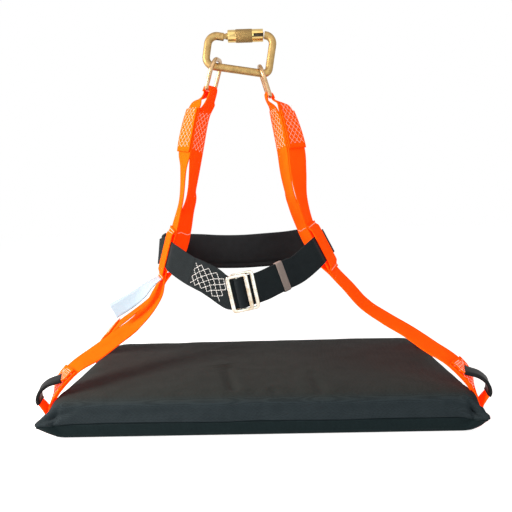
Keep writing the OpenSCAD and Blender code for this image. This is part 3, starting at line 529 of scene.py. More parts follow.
def plated(name, colour, dark, rough_low, rough_high, cloud_mm, grain_mm, bump):
    """Plated steel: cloudy tint from the passivate, roughness that drifts, and a fine drawn grain."""
    tree, shader, coords = new_material(name)
    cloud, grain = (node(tree, "ShaderNodeTexNoise", [("Vector", coords["Object"])], in_Scale=1 / (size * MM),
                         in_Detail=detail, in_Roughness=rough)
                    for size, detail, rough in ((cloud_mm, 3.0, 0.6), (grain_mm, 2.0, 0.5)))
    tone = node(tree, "ShaderNodeValToRGB", [("Fac", cloud)], [(0.3, rgba(dark)), (0.65, rgba(colour))])
    rough = node(tree, "ShaderNodeMapRange", [("Value", cloud)], in_3=rough_high, in_4=rough_low)
    relief = node(tree, "ShaderNodeBump", [("Height", grain)], in_Strength=bump, in_Distance=0.0002)
    node(tree, shader, [("Base Color", tone), ("Roughness", rough), ("Normal", relief)], in_Metallic=1.0)


def plain_grain(name, colour, rough, grain_mm, bump, spec, painted_glow=0.0):
    """Moulded or spun surface with a fine even grain and a slight change of tone."""
    tree, shader, coords = new_material(name)
    grain = node(tree, "ShaderNodeTexNoise", [("Vector", coords["Object"])], in_Scale=1 / (grain_mm * MM),
                 in_Detail=3.0)
    tone = node(tree, "ShaderNodeValToRGB", [("Fac", grain)],
                [(0.0, rgba(colour, 0.85)), (1.0, rgba(colour, 1.1))])
    relief = node(tree, "ShaderNodeBump", [("Height", grain)], in_Strength=bump, in_Distance=0.0002)
    # Painted glow, where given, keeps the surface bright on faces in shade
    node(tree, shader, [("Base Color", tone), ("Normal", relief)], in_Roughness=rough,
         in_Specular_IOR_Level=spec, in_Emission_Color=rgba(colour), in_Emission_Strength=painted_glow)


def knurled(name, colour, pitch):
    """Zinc sleeve with a fine diamond knurl cut round its barrel, one pitch from groove to groove."""
    tree, shader, coords = new_material(name)
    split = node(tree, "ShaderNodeSeparateXYZ", [("Vector", coords["Object"])])
    side, rise = (node(tree, "ShaderNodeMath", [(0, split.outputs[axis])], operation="SUBTRACT",
                       in_1=GATE_PIN[axis] * MM) for axis in (1, 2))
    angle = node(tree, "ShaderNodeMath", [(0, rise), (1, side)], operation="ARCTAN2")
    round_m = node(tree, "ShaderNodeMath", [(0, angle)], operation="MULTIPLY", in_1=LOCK_R * MM)
    flat = node(tree, "ShaderNodeCombineXYZ", [("X", split.outputs["X"]), ("Y", round_m)])
    turn = node(tree, "ShaderNodeMapping", [("Vector", flat)], in_Rotation=(0, 0, math.radians(45)))
    one, two = (node(tree, "ShaderNodeTexWave", [("Vector", turn)], bands_direction=way,
                     in_Scale=wave_scale(pitch)).outputs["Fac"] for way in "XY")
    both = node(tree, "ShaderNodeMath", [(0, one), (1, two)], operation="MINIMUM")
    tone = node(tree, "ShaderNodeValToRGB", [("Fac", both)],
                [(0.0, rgba(colour, 0.5)), (1.0, rgba(colour, 0.95))])
    relief = node(tree, "ShaderNodeBump", [("Height", both)], in_Strength=0.7, in_Distance=0.0004)
    node(tree, shader, [("Base Color", tone), ("Normal", relief)], in_Metallic=1.0, in_Roughness=0.5)


def ribbed(name, colour, pitch):
    """Elastic tape: soft ribs of covered rubber across the band."""
    tree, shader, coords = new_material(name)
    ribs = node(tree, "ShaderNodeTexWave", [("Vector", coords["UV"])], bands_direction="Y",
                in_Scale=wave_scale(pitch), in_Distortion=0.4).outputs["Fac"]
    tone = node(tree, "ShaderNodeValToRGB", [("Fac", ribs)],
                [(0.0, rgba(colour, 0.7)), (1.0, rgba(colour, 1.1))])
    relief = node(tree, "ShaderNodeBump", [("Height", ribs)], in_Strength=0.6, in_Distance=0.0004)
    node(tree, shader, [("Base Color", tone), ("Normal", relief)], in_Roughness=0.8, in_Sheen_Weight=0.2)


def plywood(name, pale, dark, ply):
    """Birch plywood of the board inside the cover: pale plies and fine pores."""
    tree, shader, coords = new_material(name)
    place = coords["Object"]
    plies = node(tree, "ShaderNodeTexWave", [("Vector", place)], bands_direction="Z",
                 in_Scale=wave_scale(ply), in_Distortion=1.2).outputs["Fac"]
    # Nine patches of pores to 50 mm
    pores = node(tree, "ShaderNodeTexNoise", [("Vector", place)], in_Scale=9 / (50 * MM), in_Detail=4.0)
    blend = node(tree, "ShaderNodeMix", [(2, plies), (3, pores)], in_0=0.4)
    tone = node(tree, "ShaderNodeValToRGB", [("Fac", blend)], [(0.0, rgba(dark)), (1.0, rgba(pale))])
    node(tree, shader, [("Base Color", tone)], in_Roughness=0.65)


def finishes():
    """All materials by plain name, made once."""
    if "polyester_webbing_orange" not in bpy.data.materials:
        c, s = bpy.context.scene.chair_colours, bpy.context.scene.chair_sizes
        woven("polyester_webbing_orange", c.webbing, s.weave, 0.8, painted_glow=c.painted_glow, spec=0.03)
        woven("polyester_webbing_black", c.belt, s.weave, 0.7, contrast=0.5, spec=0.07)
        # The cover's tints by height are painted light and shade: cool on the walls, darkest under the seam
        woven("coated_polyester_cover", c.cover, s.cover_weave, 0.72, on_uv=False, contrast=0.6, spec=0.07,
              bump=0.35, painted_shade_tints=("#89AFBC", "#CEE7FC", "#D7E2E3"))
        woven("satin_label", c.label, 0.0008, 0.5, contrast=0.93, bump=0.15)
        # The peach and white threads get a painted glow, which keeps them bright on faces in shade
        for dye, tint, painted_glow in (
                ("peach", "#FFDCC4", 0.35), ("white", "#F6EDE8", 0.4), ("black", "#1C1D1E", 0.0)):
            plain_grain("polyester_thread_" + dye, linear(tint), 0.7, 0.6, 0.3, 0.3, painted_glow)
        plain_grain("pvc_sleeve_black", linear("#151415"), 0.5, 1.2, 0.12, 0.14)
        plated("yellow_passivated_zinc", c.zinc, linear("#957A4E"), 0.42, 0.56, 9.0, 0.5, 0.1)
        plated("polished_zinc", linear("#D6B878"), linear("#C4A262"), 0.16, 0.26, 12.0, 0.5, 0.03)
        plated("pale_passivated_zinc", c.pale_zinc, linear("#A98460"), 0.22, 0.32, 7.0, 0.5, 0.03)
        plated("nickel_plated_steel", c.steel, linear("#BBA286"), 0.14, 0.26, 13.0, 0.4, 0.04)
        # Painted shade: the slot's floor is coloured dark for the shade that falls in the recess
        plated("slot_painted_shade", linear("#4A4136"), linear("#2C261F"), 0.4, 0.5, 5.0, 0.5, 0.05)
        knurled("knurled_zinc_sleeve", c.zinc, 0.0013)
        ribbed("covered_elastic", c.elastic, 0.0011)
        plywood("birch_plywood", linear("#D9BE92"), linear("#A8855C"), 0.003)
    return bpy.data.materials


def dress(node_name, finish):
    """Gives a CAD node that stays in sight one of the finishes."""
    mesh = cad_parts[node_name].data
    mesh.materials.clear()
    mesh.materials.append(finishes()[finish])


def add_piece(name, verts, faces, material, stands_for=(), uvs=None, closed=True, body="chair"):
    """A mesh piece from points in millimetres, riding on a body and standing for CAD nodes."""
    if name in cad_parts:
        name += "_dressed"
    mesh = bpy.data.meshes.new(name)
    mesh.from_pydata([tuple(v * MM) for v in np.asarray(verts, float)], [], faces)
    if uvs is not None:
        layer = mesh.uv_layers.new(name="weave")
        for loop in mesh.loops:
            layer.data[loop.index].uv = uvs[loop.vertex_index]
    if closed:
        bm = bmesh.new()
        bm.from_mesh(mesh)
        bmesh.ops.recalc_face_normals(bm, faces=bm.faces)
        bm.to_mesh(mesh)
        bm.free()
    mesh.polygons.foreach_set("use_smooth", [True] * len(mesh.polygons))
    obj = bpy.data.objects.new(name, mesh)
    bpy.context.scene.collection.objects.link(obj)
    return finish_piece(obj, material, body, stands_for)


def finish_piece(obj, material, body, stands_for=()):
    """Gives a piece its material and its body, and hides the CAD nodes that it stands for."""
    obj.data.materials.clear()
    obj.data.materials.append(finishes()[material])
    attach(obj, body)
    if stands_for:
        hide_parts(*stands_for)
    return obj


def quads(rows, row, base=0, ring=True, loop=False):
    """Faces between rows of points, from point base on; each row may be a ring, and all rows a loop."""
    faces = []
    steps = range(row if ring else row - 1)
    for i in range(rows if loop else rows - 1):
        a, b = base + i * row, base + (i + 1) % rows * row
        faces += [(a + k, a + (k + 1) % row, b + (k + 1) % row, b + k) for k in steps]
    return faces


def whole_section(half):
    """A section's points all round, from those of its upper left quarter."""
    top = half + [(-x, y) for x, y in half[-2::-1]]
    return top + [(x, -y) for x, y in top[::-1]]


def web_section(width):
    """Section of a web: rounded edge cords, a shallow groove beside them, a flat middle."""
    h, t = width / 2, WEB_T / 2
    return whole_section([
        (-h, 0.30 * t), (0.35 - h, 0.72 * t), (1.0 - h, 0.98 * t), (1.9 - h, 1.0 * t), (2.8 - h, 0.74 * t),
        (3.8 - h, 0.9 * t), (-0.6 * h, 0.96 * t), (-0.3 * h, 0.96 * t), (0.0, 0.96 * t)])


def sleeve_section():
    """Section of the soft tube round a tool loop, flattened by the web inside it."""
    h, t = TOOL_W / 2 + SLEEVE_T, WEB_T / 2 + SLEEVE_T
    quarter = ((-1, 0.35), (-0.97, 0.75), (-0.9, 1), (-0.5, 1), (0, 1))
    return whole_section([(x * h, y * t) for x, y in quarter])


def pad_section():
    """Section of the back pad: full on the body's side, with a sewn groove along its lower edge."""
    h, t = PAD_H / 2, PAD_T / 2
    inner = [(-h, 0.2), (-h + 0.6, 0.62), (-h + 2.5, 0.8), (-h + 7.6, 0.84), (-h + 9.0, 0.52),
             (-h + 10.6, 0.86), (-h + 16, 0.98), (-0.35 * h, 1.0), (0, 1.0), (0.35 * h, 1.0),
             (0.75 * h, 0.96), (h - 4, 0.84), (h - 1.5, 0.6), (h, 0.2)]
    return [(x, y * t) for x, y in inner] + [(x, -min(y, 0.84) * t) for x, y in inner[::-1]]


def sweep(web, section, width):
    """Points, faces and UVs of a section swept along a web, closed at both ends."""
    sec = np.array(section)
    n, m = len(web.pos), len(sec)
    verts = (web.pos[:, None, :] + sec[None, :, 0:1] * web.wide[:, None, :]
             + sec[None, :, 1:2] * web.face[:, None, :]).reshape(-1, 3)
    faces = quads(n, m)
    for e in (0, (n - 1) * m):
        faces += [(e + k, e + k + 1, e + m - 2 - k, e + m - 1 - k) for k in range(m // 2 - 1)]
    uvs = [((x + width / 2) * MM, v * MM) for v in web.run for x, _ in section]
    return verts, faces, uvs


def add_web(name, web, width=WEB_W, material="polyester_webbing_orange"):
    """A web in the place of the CAD node of that name."""
    verts, faces, uvs = sweep(web, web_section(width), width)
    return add_piece(name, verts, faces, material, [name], uvs)


def diamonds(v0, v1, u0, u1, along, across):
    """Crossing zigzag seams that make a field of diamonds, as lines of (run, across) points."""
    du, dv = (u1 - u0) / across, (v1 - v0) / along
    lines = []
    for k in range(across):
        mid = u0 + (k + 0.5) * du
        for way in (1, -1):
            lines.append([(v0 + j * dv, mid + way * (du / 2 if j % 2 else -du / 2))
                          for j in range(along + 1)])
    return lines


def cross_line(v, half, ripple=0.0):
    """A seam straight across a web, or one that ripples along it."""
    return [(v + ripple * math.sin(3 * t), half * t) for t in np.linspace(-1, 1, 5)]


def sew(name, web, lines, face=None, thread="polyester_thread_peach", fat=1.0):
    """Thread stitches along lines on a web: each one rises out of the cloth and dips back into it.

    They lie on the side that looks to the camera, unless face says which.
    """
    sizes = bpy.context.scene.chair_sizes
    length, r = sizes.stitch / MM, fat * sizes.thread / MM
    face = face or web.towards(CAMERA_MM)
    lift = face * WEB_T / 2
    ring = [(math.cos(a), math.sin(a)) for a in (math.radians(54 + 72 * k) for k in range(5))]
    rise = (-0.35 * r, 0.75 * r, 0.75 * r, -0.35 * r)
    girth = (0.7 * r, r, r, 0.7 * r)
    verts, faces = [], []
    for line in lines:
        pts = np.array(line, float)
        run = np.hstack([0, np.cumsum(np.linalg.norm(np.diff(pts, axis=0), axis=1))])
        count = max(1, int(round(run[-1] / (length * STITCH_PITCH))))
        pitch = run[-1] / count
        for k in range(count):
            share = np.linspace(k * pitch + STITCH_GAP * pitch, (k + 1) * pitch - STITCH_GAP * pitch,
                                len(rise))
            flat = [(np.interp(s, run, pts[:, 0]), np.interp(s, run, pts[:, 1])) for s in share]
            path = [web.at(v, u, lift + face * h) for (v, u), h in zip(flat, rise)]
            out = unit(web.at(*flat[1], lift + face) - web.at(*flat[1], lift))
            base = len(verts)
            for i, p in enumerate(path):
                side = unit(np.cross(unit(path[min(i + 1, 3)] - path[max(i - 1, 0)]), out))
                verts += [p + girth[i] * (c * side + s * out) for c, s in ring]
            faces += quads(len(rise), len(ring), base)
            faces += [tuple(range(end, end + len(ring))) for end in (base, len(verts) - len(ring))]
    return add_piece(name, verts, faces, thread)


class CHAIR_OT_straps(bpy.types.Operator):
    """Sews the two orange straps, their eye patches and their stitching."""

    bl_idname = "chair.straps"
    bl_label = "Straps"

    def execute(self, context):
        for side, way in SIDES:
            strap = ROUTES["strap_" + side]
            add_web("strap_" + side, strap.part(STRAP_TRIM, len(strap.pos) - 1 - STRAP_TRIM))
            end = EYE_SPAN * FINE
            patch = strap.part(end - 2 * FINE, end - 9).moved(way * PATCH_OUT)
            add_web("eye_patch_" + side, patch)
            sew("eye_stitches_" + side, patch, diamonds(8, 8 + EYE_SEWN, -19, 19, 6, 3), fat=FIELD_THREAD)
            rear = strap.part(end + 9 * FINE, end + 14 * FINE)
            near = rear.run[np.argmin(abs(rear.pos[:, 2] - REAR_EYE_Z))]
            sew("rear_eye_stitches_" + side, rear, diamonds(near, near + EYE_SEWN, -19, 19, 6, 3),
                fat=FIELD_THREAD)
        return {"FINISHED"}


class CHAIR_OT_belt_loops(bpy.types.Operator):
    """Sews the belt loops on the straps, with a seam at each end, and the seams of the inner legs."""

    bl_idname = "chair.belt_loops"
    bl_label = "Belt loops"

    def execute(self, context):
        for side, way in SIDES:
            strap = ROUTES["strap_" + side]
            mid = CROSS_SPAN * FINE
            part = strap.part(mid - 2 * FINE, mid + 2 * FINE)
            # It lies on the strap at both ends and stands out over the belt between them
            t = np.arange(len(part.pos)) / (len(part.pos) - 1)
            rise = np.clip((np.minimum(t, 1 - t) - 0.06) * 8, 0, 1)
            loop = part.moved(way * (LAP + (LOOP_OUT - LAP) * rise * rise * (3 - 2 * rise)))
            add_web("belt_loop_" + side, loop)
            top = loop.run[-1]
            seams = (3.5, top - 3.5, top - 9) if side == "left" else (3.5, top - 3.5)
            sew("loop_stitches_" + side, loop, [cross_line(v, SEAM_HALF) for v in seams])
            last = len(strap.pos) - 1 - INNER_SPAN * FINE
            inner = strap.part(last - 3 * FINE, last)
            v = inner.run[np.argmin(abs(inner.pos[:, 2] - INNER_SEAM_Z))]
            sew("inner_leg_stitches_" + side, inner, [cross_line(v, SEAM_HALF, 2.0)])
        return {"FINISHED"}


class CHAIR_OT_slings(bpy.types.Operator):
    """Sews the slings that carry the board, with stitched ends up the straps, and the tool loops on them."""

    bl_idname = "chair.slings"
    bl_label = "Slings and tool loops"

    def execute(self, context):
        for name in ("front_sling", "rear_sling"):
            web = ROUTES[name]
            add_web(name, web)
            last, end = len(web.pos) - 1, 6 * SLING_FINE
            for side, part in (("right", web.part(0, end)), ("left", web.part(last - end, last).turned())):
                sew(name + "_stitches_" + side, part, diamonds(5, 41, -18, 18, 4, 3), part.outward(10),
                    fat=FIELD_THREAD)
        for side, _ in SIDES:
            web = ROUTES["tool_" + side]
            add_web("tool_loop_" + side, web, TOOL_W)
            verts, faces, uvs = sweep(web.part(*SLEEVE_SPAN), sleeve_section(), TOOL_W)
            add_piece("tool_sleeve_" + side, verts, faces, "pvc_sleeve_black",
                      ["tool_sleeve_" + side], uvs)
            lines = [cross_line(v, 9) for v in (4, web.run[-1] - 6)]
            lines += [[(5, u), (21, u)] for u in (-8, -2.7, 2.7, 8)]
            sew("tool_loop_stitches_" + side, web, lines, web.outward(5))
        return {"FINISHED"}


def seat_outline(ax, ay, r, ear, z):
    """A rounded rectangle, with corners that may be pulled out to ears, anticlockwise from the right."""
    corners = ((ax - r, ay - r), (r - ax, ay - r), (r - ax, r - ay), (ax - r, r - ay))
    half = CORNER_STEPS / 2
    pts = []
    for q, (cx, cy) in enumerate(corners):
        for j in range(CORNER_STEPS + 1):
            a = math.radians(90 * q + 90 * j / CORNER_STEPS)
            pull = ear * max(0, 1 - abs(j - half) / half)
            pts.append((cx + (r + pull) * math.cos(a), cy + (r + pull) * math.sin(a), z))
        nx, ny = corners[(q + 1) % 4]
        a = math.radians(90 * (q + 1))
        start, end = pts[-1], (nx + r * math.cos(a), ny + r * math.sin(a))
        steps = SIDE_STEPS[q % 2]
        for j in range(1, steps):
            # Points crowd towards the corners, where the folds are
            f = j / steps - 0.115 * math.sin(2 * math.pi * j / steps)
            pts.append((start[0] + (end[0] - start[0]) * f, start[1] + (end[1] - start[1]) * f, z))
    return np.array(pts)


def seat_shell(rings, spans, middle):
    """A closed bowl through rounded outlines: its points, its faces and the number of points in an outline.

    A ring says how far it lies in from the seat's side and front, its height, its corners' radius and ears.
    """
    fine = smooth([np.hstack([r, [0.0]]) for r in rings], spans)
    outlines = [seat_outline(HALF_X - q[0], HALF_Y - q[1], q[3], q[4], q[2]) for q in fine]
    last = outlines[-1]
    mid = np.array(middle, float)
    for share in (0.82, 0.64, 0.46, 0.28, 0.12):
        outlines.append(mid + (last - mid) * np.array([share, share, share * share]))
    n, m = len(outlines), len(last)
    faces = quads(n, m) + [((n - 1) * m + k, (n - 1) * m + (k + 1) % m, n * m) for k in range(m)]
    return np.vstack(outlines + [mid[None, :]]), faces, m


def crumple(verts, outward, amount, folds):
    """Soft waves all over, and folds: each a line in space, its depth and its width, deep or standing up."""
    push = np.array([amount * (noise.noise(Vector(p * 0.011)) + 0.5 * noise.noise(Vector(p * 0.03 + 7.0)))
                     for p in verts])
    for a, b, deep, wide in folds:
        a, b = np.array(a, float), np.array(b, float)
        f = np.clip((verts - a) @ (b - a) / ((b - a) @ (b - a)), 0, 1)
        gap = np.linalg.norm(verts - a - f[:, None] * (b - a), axis=1)
        fade = 1 - 0.55 * f
        push -= deep * fade * (np.exp(-(gap / wide) ** 2) - 0.45 * np.exp(-(gap / (2.4 * wide)) ** 2))
    return verts + push[:, None] * outward


def pull_ear(verts):
    """The front left ear of the cover, tugged further out than the others."""
    gap = np.linalg.norm((verts - EAR_AT) * np.array([1, 1, 1.4]), axis=1)
    return verts + EAR_PULL * np.exp(-(gap / EAR_REACH) ** 2)[:, None] * np.array([-0.97, -0.2, 0.1])


def mesh_normals(verts, faces):
    """Outward unit normals at the points of a bowl, from its faces."""
    normals = np.zeros_like(verts)
    for f in faces:
        a, b, c = verts[f[0]], verts[f[1]], verts[f[2]]
        normals[list(f)] += np.cross(b - a, c - a)
    size = np.linalg.norm(normals, axis=1)[:, None]
    return normals / np.maximum(size, 1e-9)


# Folds of the cover: from, to, depth and width; gathered at the sewn corners, shallow where it lay folded
COVER_FOLDS = [
    ((300, -154, 29), (258, -154, 43), 8.5, 5), ((304, -152, 33), (276, -152, 60), -7.5, 5),
    ((291, -152, 31), (281, -152, 60), 9.5, 4.5), ((306, -147, 30), (287, -142, 64), 8.5, 5),
    ((308, -138, 29), (297, -104, 54), 5.0, 6),
    ((-301, -153, 29), (-262, -154, 43), 5.6, 5), ((-306, -150, 33), (-280, -150, 60), -4.0, 6),
    ((-290, -152, 31), (-282, -152, 54), 4.5, 5), ((-306, -143, 29), (-290, -118, 58), 4.5, 6),
    ((300, 151, 27), (262, 153, 42), 3.4, 6), ((-300, 151, 27), (-262, 153, 42), 3.4, 6),
    ((305, 143, 27), (294, 126, 54), 2.6, 6), ((-305, 143, 27), (-294, 126, 54), 2.6, 6),
    ((-40, -122, 61), (-62, -30, 64), 5.5, 8), ((18, -126, 61), (26, -152, 34), 4.5, 6),
    ((84, -134, 61), (77, -70, 64), 4.5, 8), ((-130, 20, 64), (-60, 60, 64), 0.9, 14),
    ((140, -30, 63), (210, 40, 62), 1.0, 14), ((-230, -60, 61), (-180, -120, 60), 1.0, 10),
    ((120, -152, 36), (190, -153, 31), 0.9, 7), ((-190, -152, 34), (-110, -153, 38), 0.9, 8)]
BASE_FOLDS = [
    ((300, -151, 19), (262, -153, 7), 2.4, 5), ((305, -142, 19), (296, -122, 8), 1.8, 5),
    ((-300, -151, 19), (-268, -153, 6), 1.8, 5), ((300, 151, 19), (266, 153, 7), 1.8, 5),
    ((-300, 151, 19), (-266, 153, 7), 1.8, 5), ((40, -153, 12), (110, -153, 9), 0.7, 6)]


class CHAIR_OT_cushion(bpy.types.Operator):
    """Makes the crowned seat cushion and the cover's underside, sewn to it at a seam with eared corners."""

    bl_idname = "chair.cushion"
    bl_label = "Seat cushion"

    def execute(self, context):
        amount = context.scene.chair_sizes.crumple / MM
        s = SEAM_Z
        top = [(3.4, 3.4, s - 0.5, 12, 10), (0.5, 0.5, s + 1.5, 12, 13), (0.6, 0.6, s + 3.5, 14, 12),
               (2.4, 2.0, s + 13.5, 20, 5), (3.8, 3.6, s + 24.6, 22, 1), (10, 9, s + 31.2, 24, 0),
               (28, 26, s + 35.46, 26, 0), (70, 60, s + 38.25, 30, 0), (150, 105, s + 40.38, 30, 0)]
        verts, faces, m = seat_shell(top, 9, (0, 0, COVER_TOP))
        shaped = crumple(verts, mesh_normals(verts, faces), amount, COVER_FOLDS)
        shaped[:m] = verts[:m]
        cushion = add_piece("seat_cushion", pull_ear(shaped), faces, "coated_polyester_cover",
                            ["seat_cover_top", "seat_foam"], closed=False)
        base = [(3.2, 3.2, s + 0.5, 12, 10), (1.2, 1.2, s - 1.6, 12, 13), (1.4, 1.4, s - 4, 14, 12),
                (2.2, 2.0, s * 0.5, 16, 7), (4.8, 4.2, 3.6, 18, 2), (8.5, 7.5, 0.9, 18, 0),
                (13, 12, 0.2, 18, 0), (60, 50, 0.1, 18, 0)]
        verts, faces, m = seat_shell(base, 4, (0, 0, 0.1))
        shaped = crumple(verts, -mesh_normals(verts, faces), 0.6 * amount, BASE_FOLDS)
        on_floor = verts[:, 2] < 3.0
        shaped[on_floor] = verts[on_floor]
        shaped[:m] = verts[:m]
        add_piece("seat_underside", pull_ear(shaped), [f[::-1] for f in faces], "coated_polyester_cover",
                  ["seat_cover_base"], closed=False)
        dress("seat_board", "birch_plywood")
        return {"FINISHED"}


class CHAIR_OT_belt(bpy.types.Operator):
    """Makes the belt web, the padded back with its sewn edge, the white box stitching and the keeper."""

    bl_idname = "chair.belt"
    bl_label = "Belt"

    def execute(self, context):
        belt = ROUTES["belt"]
        add_web("belt_web", belt, WEB_W, "polyester_webbing_black")
        front = belt.part(10 * BELT_FINE, 17 * BELT_FINE)
        sew("belt_box_stitches", front, diamonds(9, 74, -17, 16, 5, 3), None, "polyester_thread_white",
            BOX_THREAD)
        sew("belt_end_seam", front, [cross_line(79, 21)], None, "polyester_thread_black")
        verts, faces, uvs = sweep(ROUTES["pad"], pad_section(), PAD_H)
        back = add_piece("back_pad", verts, faces, "polyester_webbing_black", ["back_pad"], uvs)
        self.keeper()
        return {"FINISHED"}

    def keeper(self):
        """The elastic loop round both runs of the belt, rounded at its corners and its edges."""
        mid, run_d, run_n, run_u = ROUTES["keeper"]
        t, h, corner = WEB_T + WEB_GAP / 2 + 0.4, WEB_W / 2 + 0.4, 1.6
        loop = []
        for x, y, start in ((h, t, 0), (-h, t, 90), (-h, -t, 180), (h, -t, 270)):
            for a in range(start, start + 91, 18):
                turn = math.radians(a)
                loop.append((x - math.copysign(corner, x), y - math.copysign(corner, y),
                             math.cos(turn), math.sin(turn)))
        rows = [(-6.0, 0.2), (-5.7, 0.95), (-5.2, 1.2), (-3, 1.25), (0, 1.25), (3, 1.25), (5.2, 1.2),
                (5.7, 0.95), (6.0, 0.2), (6.0, 0.05), (-6.0, 0.05)]
        verts, uvs = [], []
        for x, fat in rows:
            r = corner + fat
            for k, (cx, cy, ca, sa) in enumerate(loop):
                verts.append(mid + x * run_d + (cy + r * sa) * run_n + (cx + r * ca) * run_u)
                uvs.append((k / len(loop) * KEEPER_ROUND, x * MM))
        add_piece("belt_keeper", verts, quads(len(rows), len(loop), loop=True), "covered_elastic",
                  ["belt_keeper"], uvs, body="keeper")


def deselect_all():
    if bpy.context.object and bpy.context.object.mode != "OBJECT":
        bpy.ops.object.mode_set(mode="OBJECT")
    bpy.ops.object.select_all(action="DESELECT")


def stamped_frame(name, width, height, limb, corner, place):
    """A flat buckle frame stamped from plate: rounded outline, one window, soft edges."""
    deselect_all()
    bpy.ops.mesh.primitive_plane_add(size=1.0)
    obj = bpy.context.object
    obj.name = obj.data.name = name
    bpy.ops.object.mode_set(mode="EDIT")
    bpy.ops.mesh.select_all(action="SELECT")
    bpy.ops.transform.resize(value=(width * MM, height * MM, 1.0))
    bpy.ops.mesh.bevel(offset=corner * MM, segments=7, affect="VERTICES")
    bpy.ops.mesh.select_all(action="SELECT")
    bpy.ops.mesh.inset(thickness=END_W * MM, depth=0.0)
    bpy.ops.transform.resize(value=((width - 2 * limb) / (width - 2 * END_W), 1.0, 1.0))
    bpy.ops.mesh.delete(type="FACE")
    bpy.ops.mesh.select_all(action="SELECT")
    bpy.ops.mesh.extrude_region_move(TRANSFORM_OT_translate={"value": (0, 0, FRAME_T * MM)})
    bpy.ops.mesh.select_all(action="SELECT")
    bpy.ops.transform.translate(value=(0, 0, -FRAME_T * MM / 2))
    bpy.ops.mesh.normals_make_consistent(inside=False)
    bpy.ops.object.mode_set(mode="OBJECT")
    soft = obj.modifiers.new("soft_edges", "BEVEL")
    soft.width = 0.9 * MM
    soft.segments = 3
    soft.angle_limit = math.radians(40)
    bpy.ops.object.modifier_apply(modifier=soft.name)
    bpy.ops.object.shade_smooth_by_angle(angle=math.radians(50))
    obj.data.transform(place)
    return obj


class CHAIR_OT_buckle(bpy.types.Operator):
    """Stamps the two frames of the pass-through buckle."""

    bl_idname = "chair.buckle"
    bl_label = "Buckle"

    def execute(self, context):
        turn = Matrix((BUCKLE_X, BUCKLE_Z, (0, -1, 0))).transposed().to_4x4()
        for name, node_name, w, h, x, y, body in (
                ("rear_buckle_frame", "buckle_female", FEMALE_W, FRAME_H + 3, FEMALE_X, FEMALE_Y, "chair"),
                ("front_buckle_frame", "buckle_male", MALE_W, FRAME_H, 0.0, BAR_Y, "buckle_front")):
            place = Matrix.Translation(Vector(buckle_point(x, y) * MM)) @ turn
            obj = stamped_frame(name, w, h, LIMB_W, FRAME_CORNER, place)
            finish_piece(obj, "nickel_plated_steel", body, [node_name])
        dress("buckle_bar", "nickel_plated_steel")
        return {"FINISHED"}


class CHAIR_OT_karabiner(bpy.types.Operator):
    """Plates the karabiner and rings, and turns the knurled sleeve with its polished ends and its slot."""

    bl_idname = "chair.karabiner"
    bl_label = "Karabiner and rings"

    def execute(self, context):
        for name in ("karabiner_body", "karabiner_gate", "gate_pin"):
            dress(name, "yellow_passivated_zinc")
        for name in ("ring_left", "ring_right"):
            dress(name, "pale_passivated_zinc")
        self.sleeve()
        return {"FINISHED"}

    def sleeve(self):
        """Turned sleeve: a barrel between two polished collars, bored through and slotted at the nose end."""
        profile = [(0.0, 5.3), (0.0, 8.7), (0.6, 9.4), (12.2, 9.4), (12.8, 9.7), (13.4, LOCK_R),
                   (38.0, LOCK_R), (38.6, 9.7), (39.2, 9.5), (LOCK_LEN - 0.6, 9.5), (LOCK_LEN, 8.8),
                   (LOCK_LEN, 5.3)]
        deselect_all()
        bpy.ops.mesh.primitive_plane_add(size=1.0)
        obj = bpy.context.object
        obj.name = obj.data.name = "turning_sleeve"
        mesh = obj.data
        mesh.clear_geometry()
        n = len(profile)
        mesh.from_pydata([(x * MM, 0, r * MM) for x, r in profile], [(k, (k + 1) % n) for k in range(n)], [])
        bpy.ops.object.mode_set(mode="EDIT")
        bpy.ops.mesh.select_all(action="SELECT")
        bpy.ops.mesh.spin(steps=48, angle=2 * math.pi, center=(0, 0, 0), axis=(1, 0, 0))
        bpy.ops.mesh.select_all(action="SELECT")
        bpy.ops.mesh.remove_doubles(threshold=1e-6)
        bpy.ops.mesh.normals_make_consistent(inside=False)
        bpy.ops.object.mode_set(mode="OBJECT")
        bpy.ops.object.shade_smooth_by_angle(angle=math.radians(35))
        deselect_all()
        bpy.ops.mesh.primitive_cube_add(size=1.0)
        cutter = bpy.context.object
        # Half the size of the slot and its middle, before the sleeve is put in its place
        half, middle = Vector((9, 2, 2.2)), Vector((LOCK_LEN - 6, -9.4, -2.0))
        cutter.data.transform(Matrix.Translation(middle * MM) @ Matrix.Diagonal((*(2 * MM * half), 1)))
        slot = obj.modifiers.new("slot", "BOOLEAN")
        slot.object = cutter
        slot.solver = "EXACT"
        deselect_all()
        obj.select_set(True)
        bpy.context.view_layer.objects.active = obj
        bpy.ops.object.modifier_apply(modifier=slot.name)
        bpy.data.objects.remove(cutter)
        # Faces on the slot's floor, which get the dark colour of painted shade
        slot_shade_faces = [all(abs(c / MM - m) < h + 0.05 for c, m, h in zip(poly.center, middle, half))
                   for poly in obj.data.polygons]
        place = (Matrix.Translation(Vector(GATE_PIN * MM)) @ Matrix.Rotation(GATE_DIP, 4, "Y")
                 @ Matrix.Translation((LOCK_X * MM, 0, 0)))
        obj.data.transform(place)
        finish_piece(obj, "knurled_zinc_sleeve", "lock", ["locking_sleeve"])
        obj.data.materials.append(finishes()["polished_zinc"])
        obj.data.materials.append(finishes()["slot_painted_shade"])
        for poly, dark in zip(obj.data.polygons, slot_shade_faces):
            x = poly.center.x / MM - GATE_PIN[0] - LOCK_X
            poly.material_index = 2 if dark else 0 if BARREL[0] < x < BARREL[1] else 1


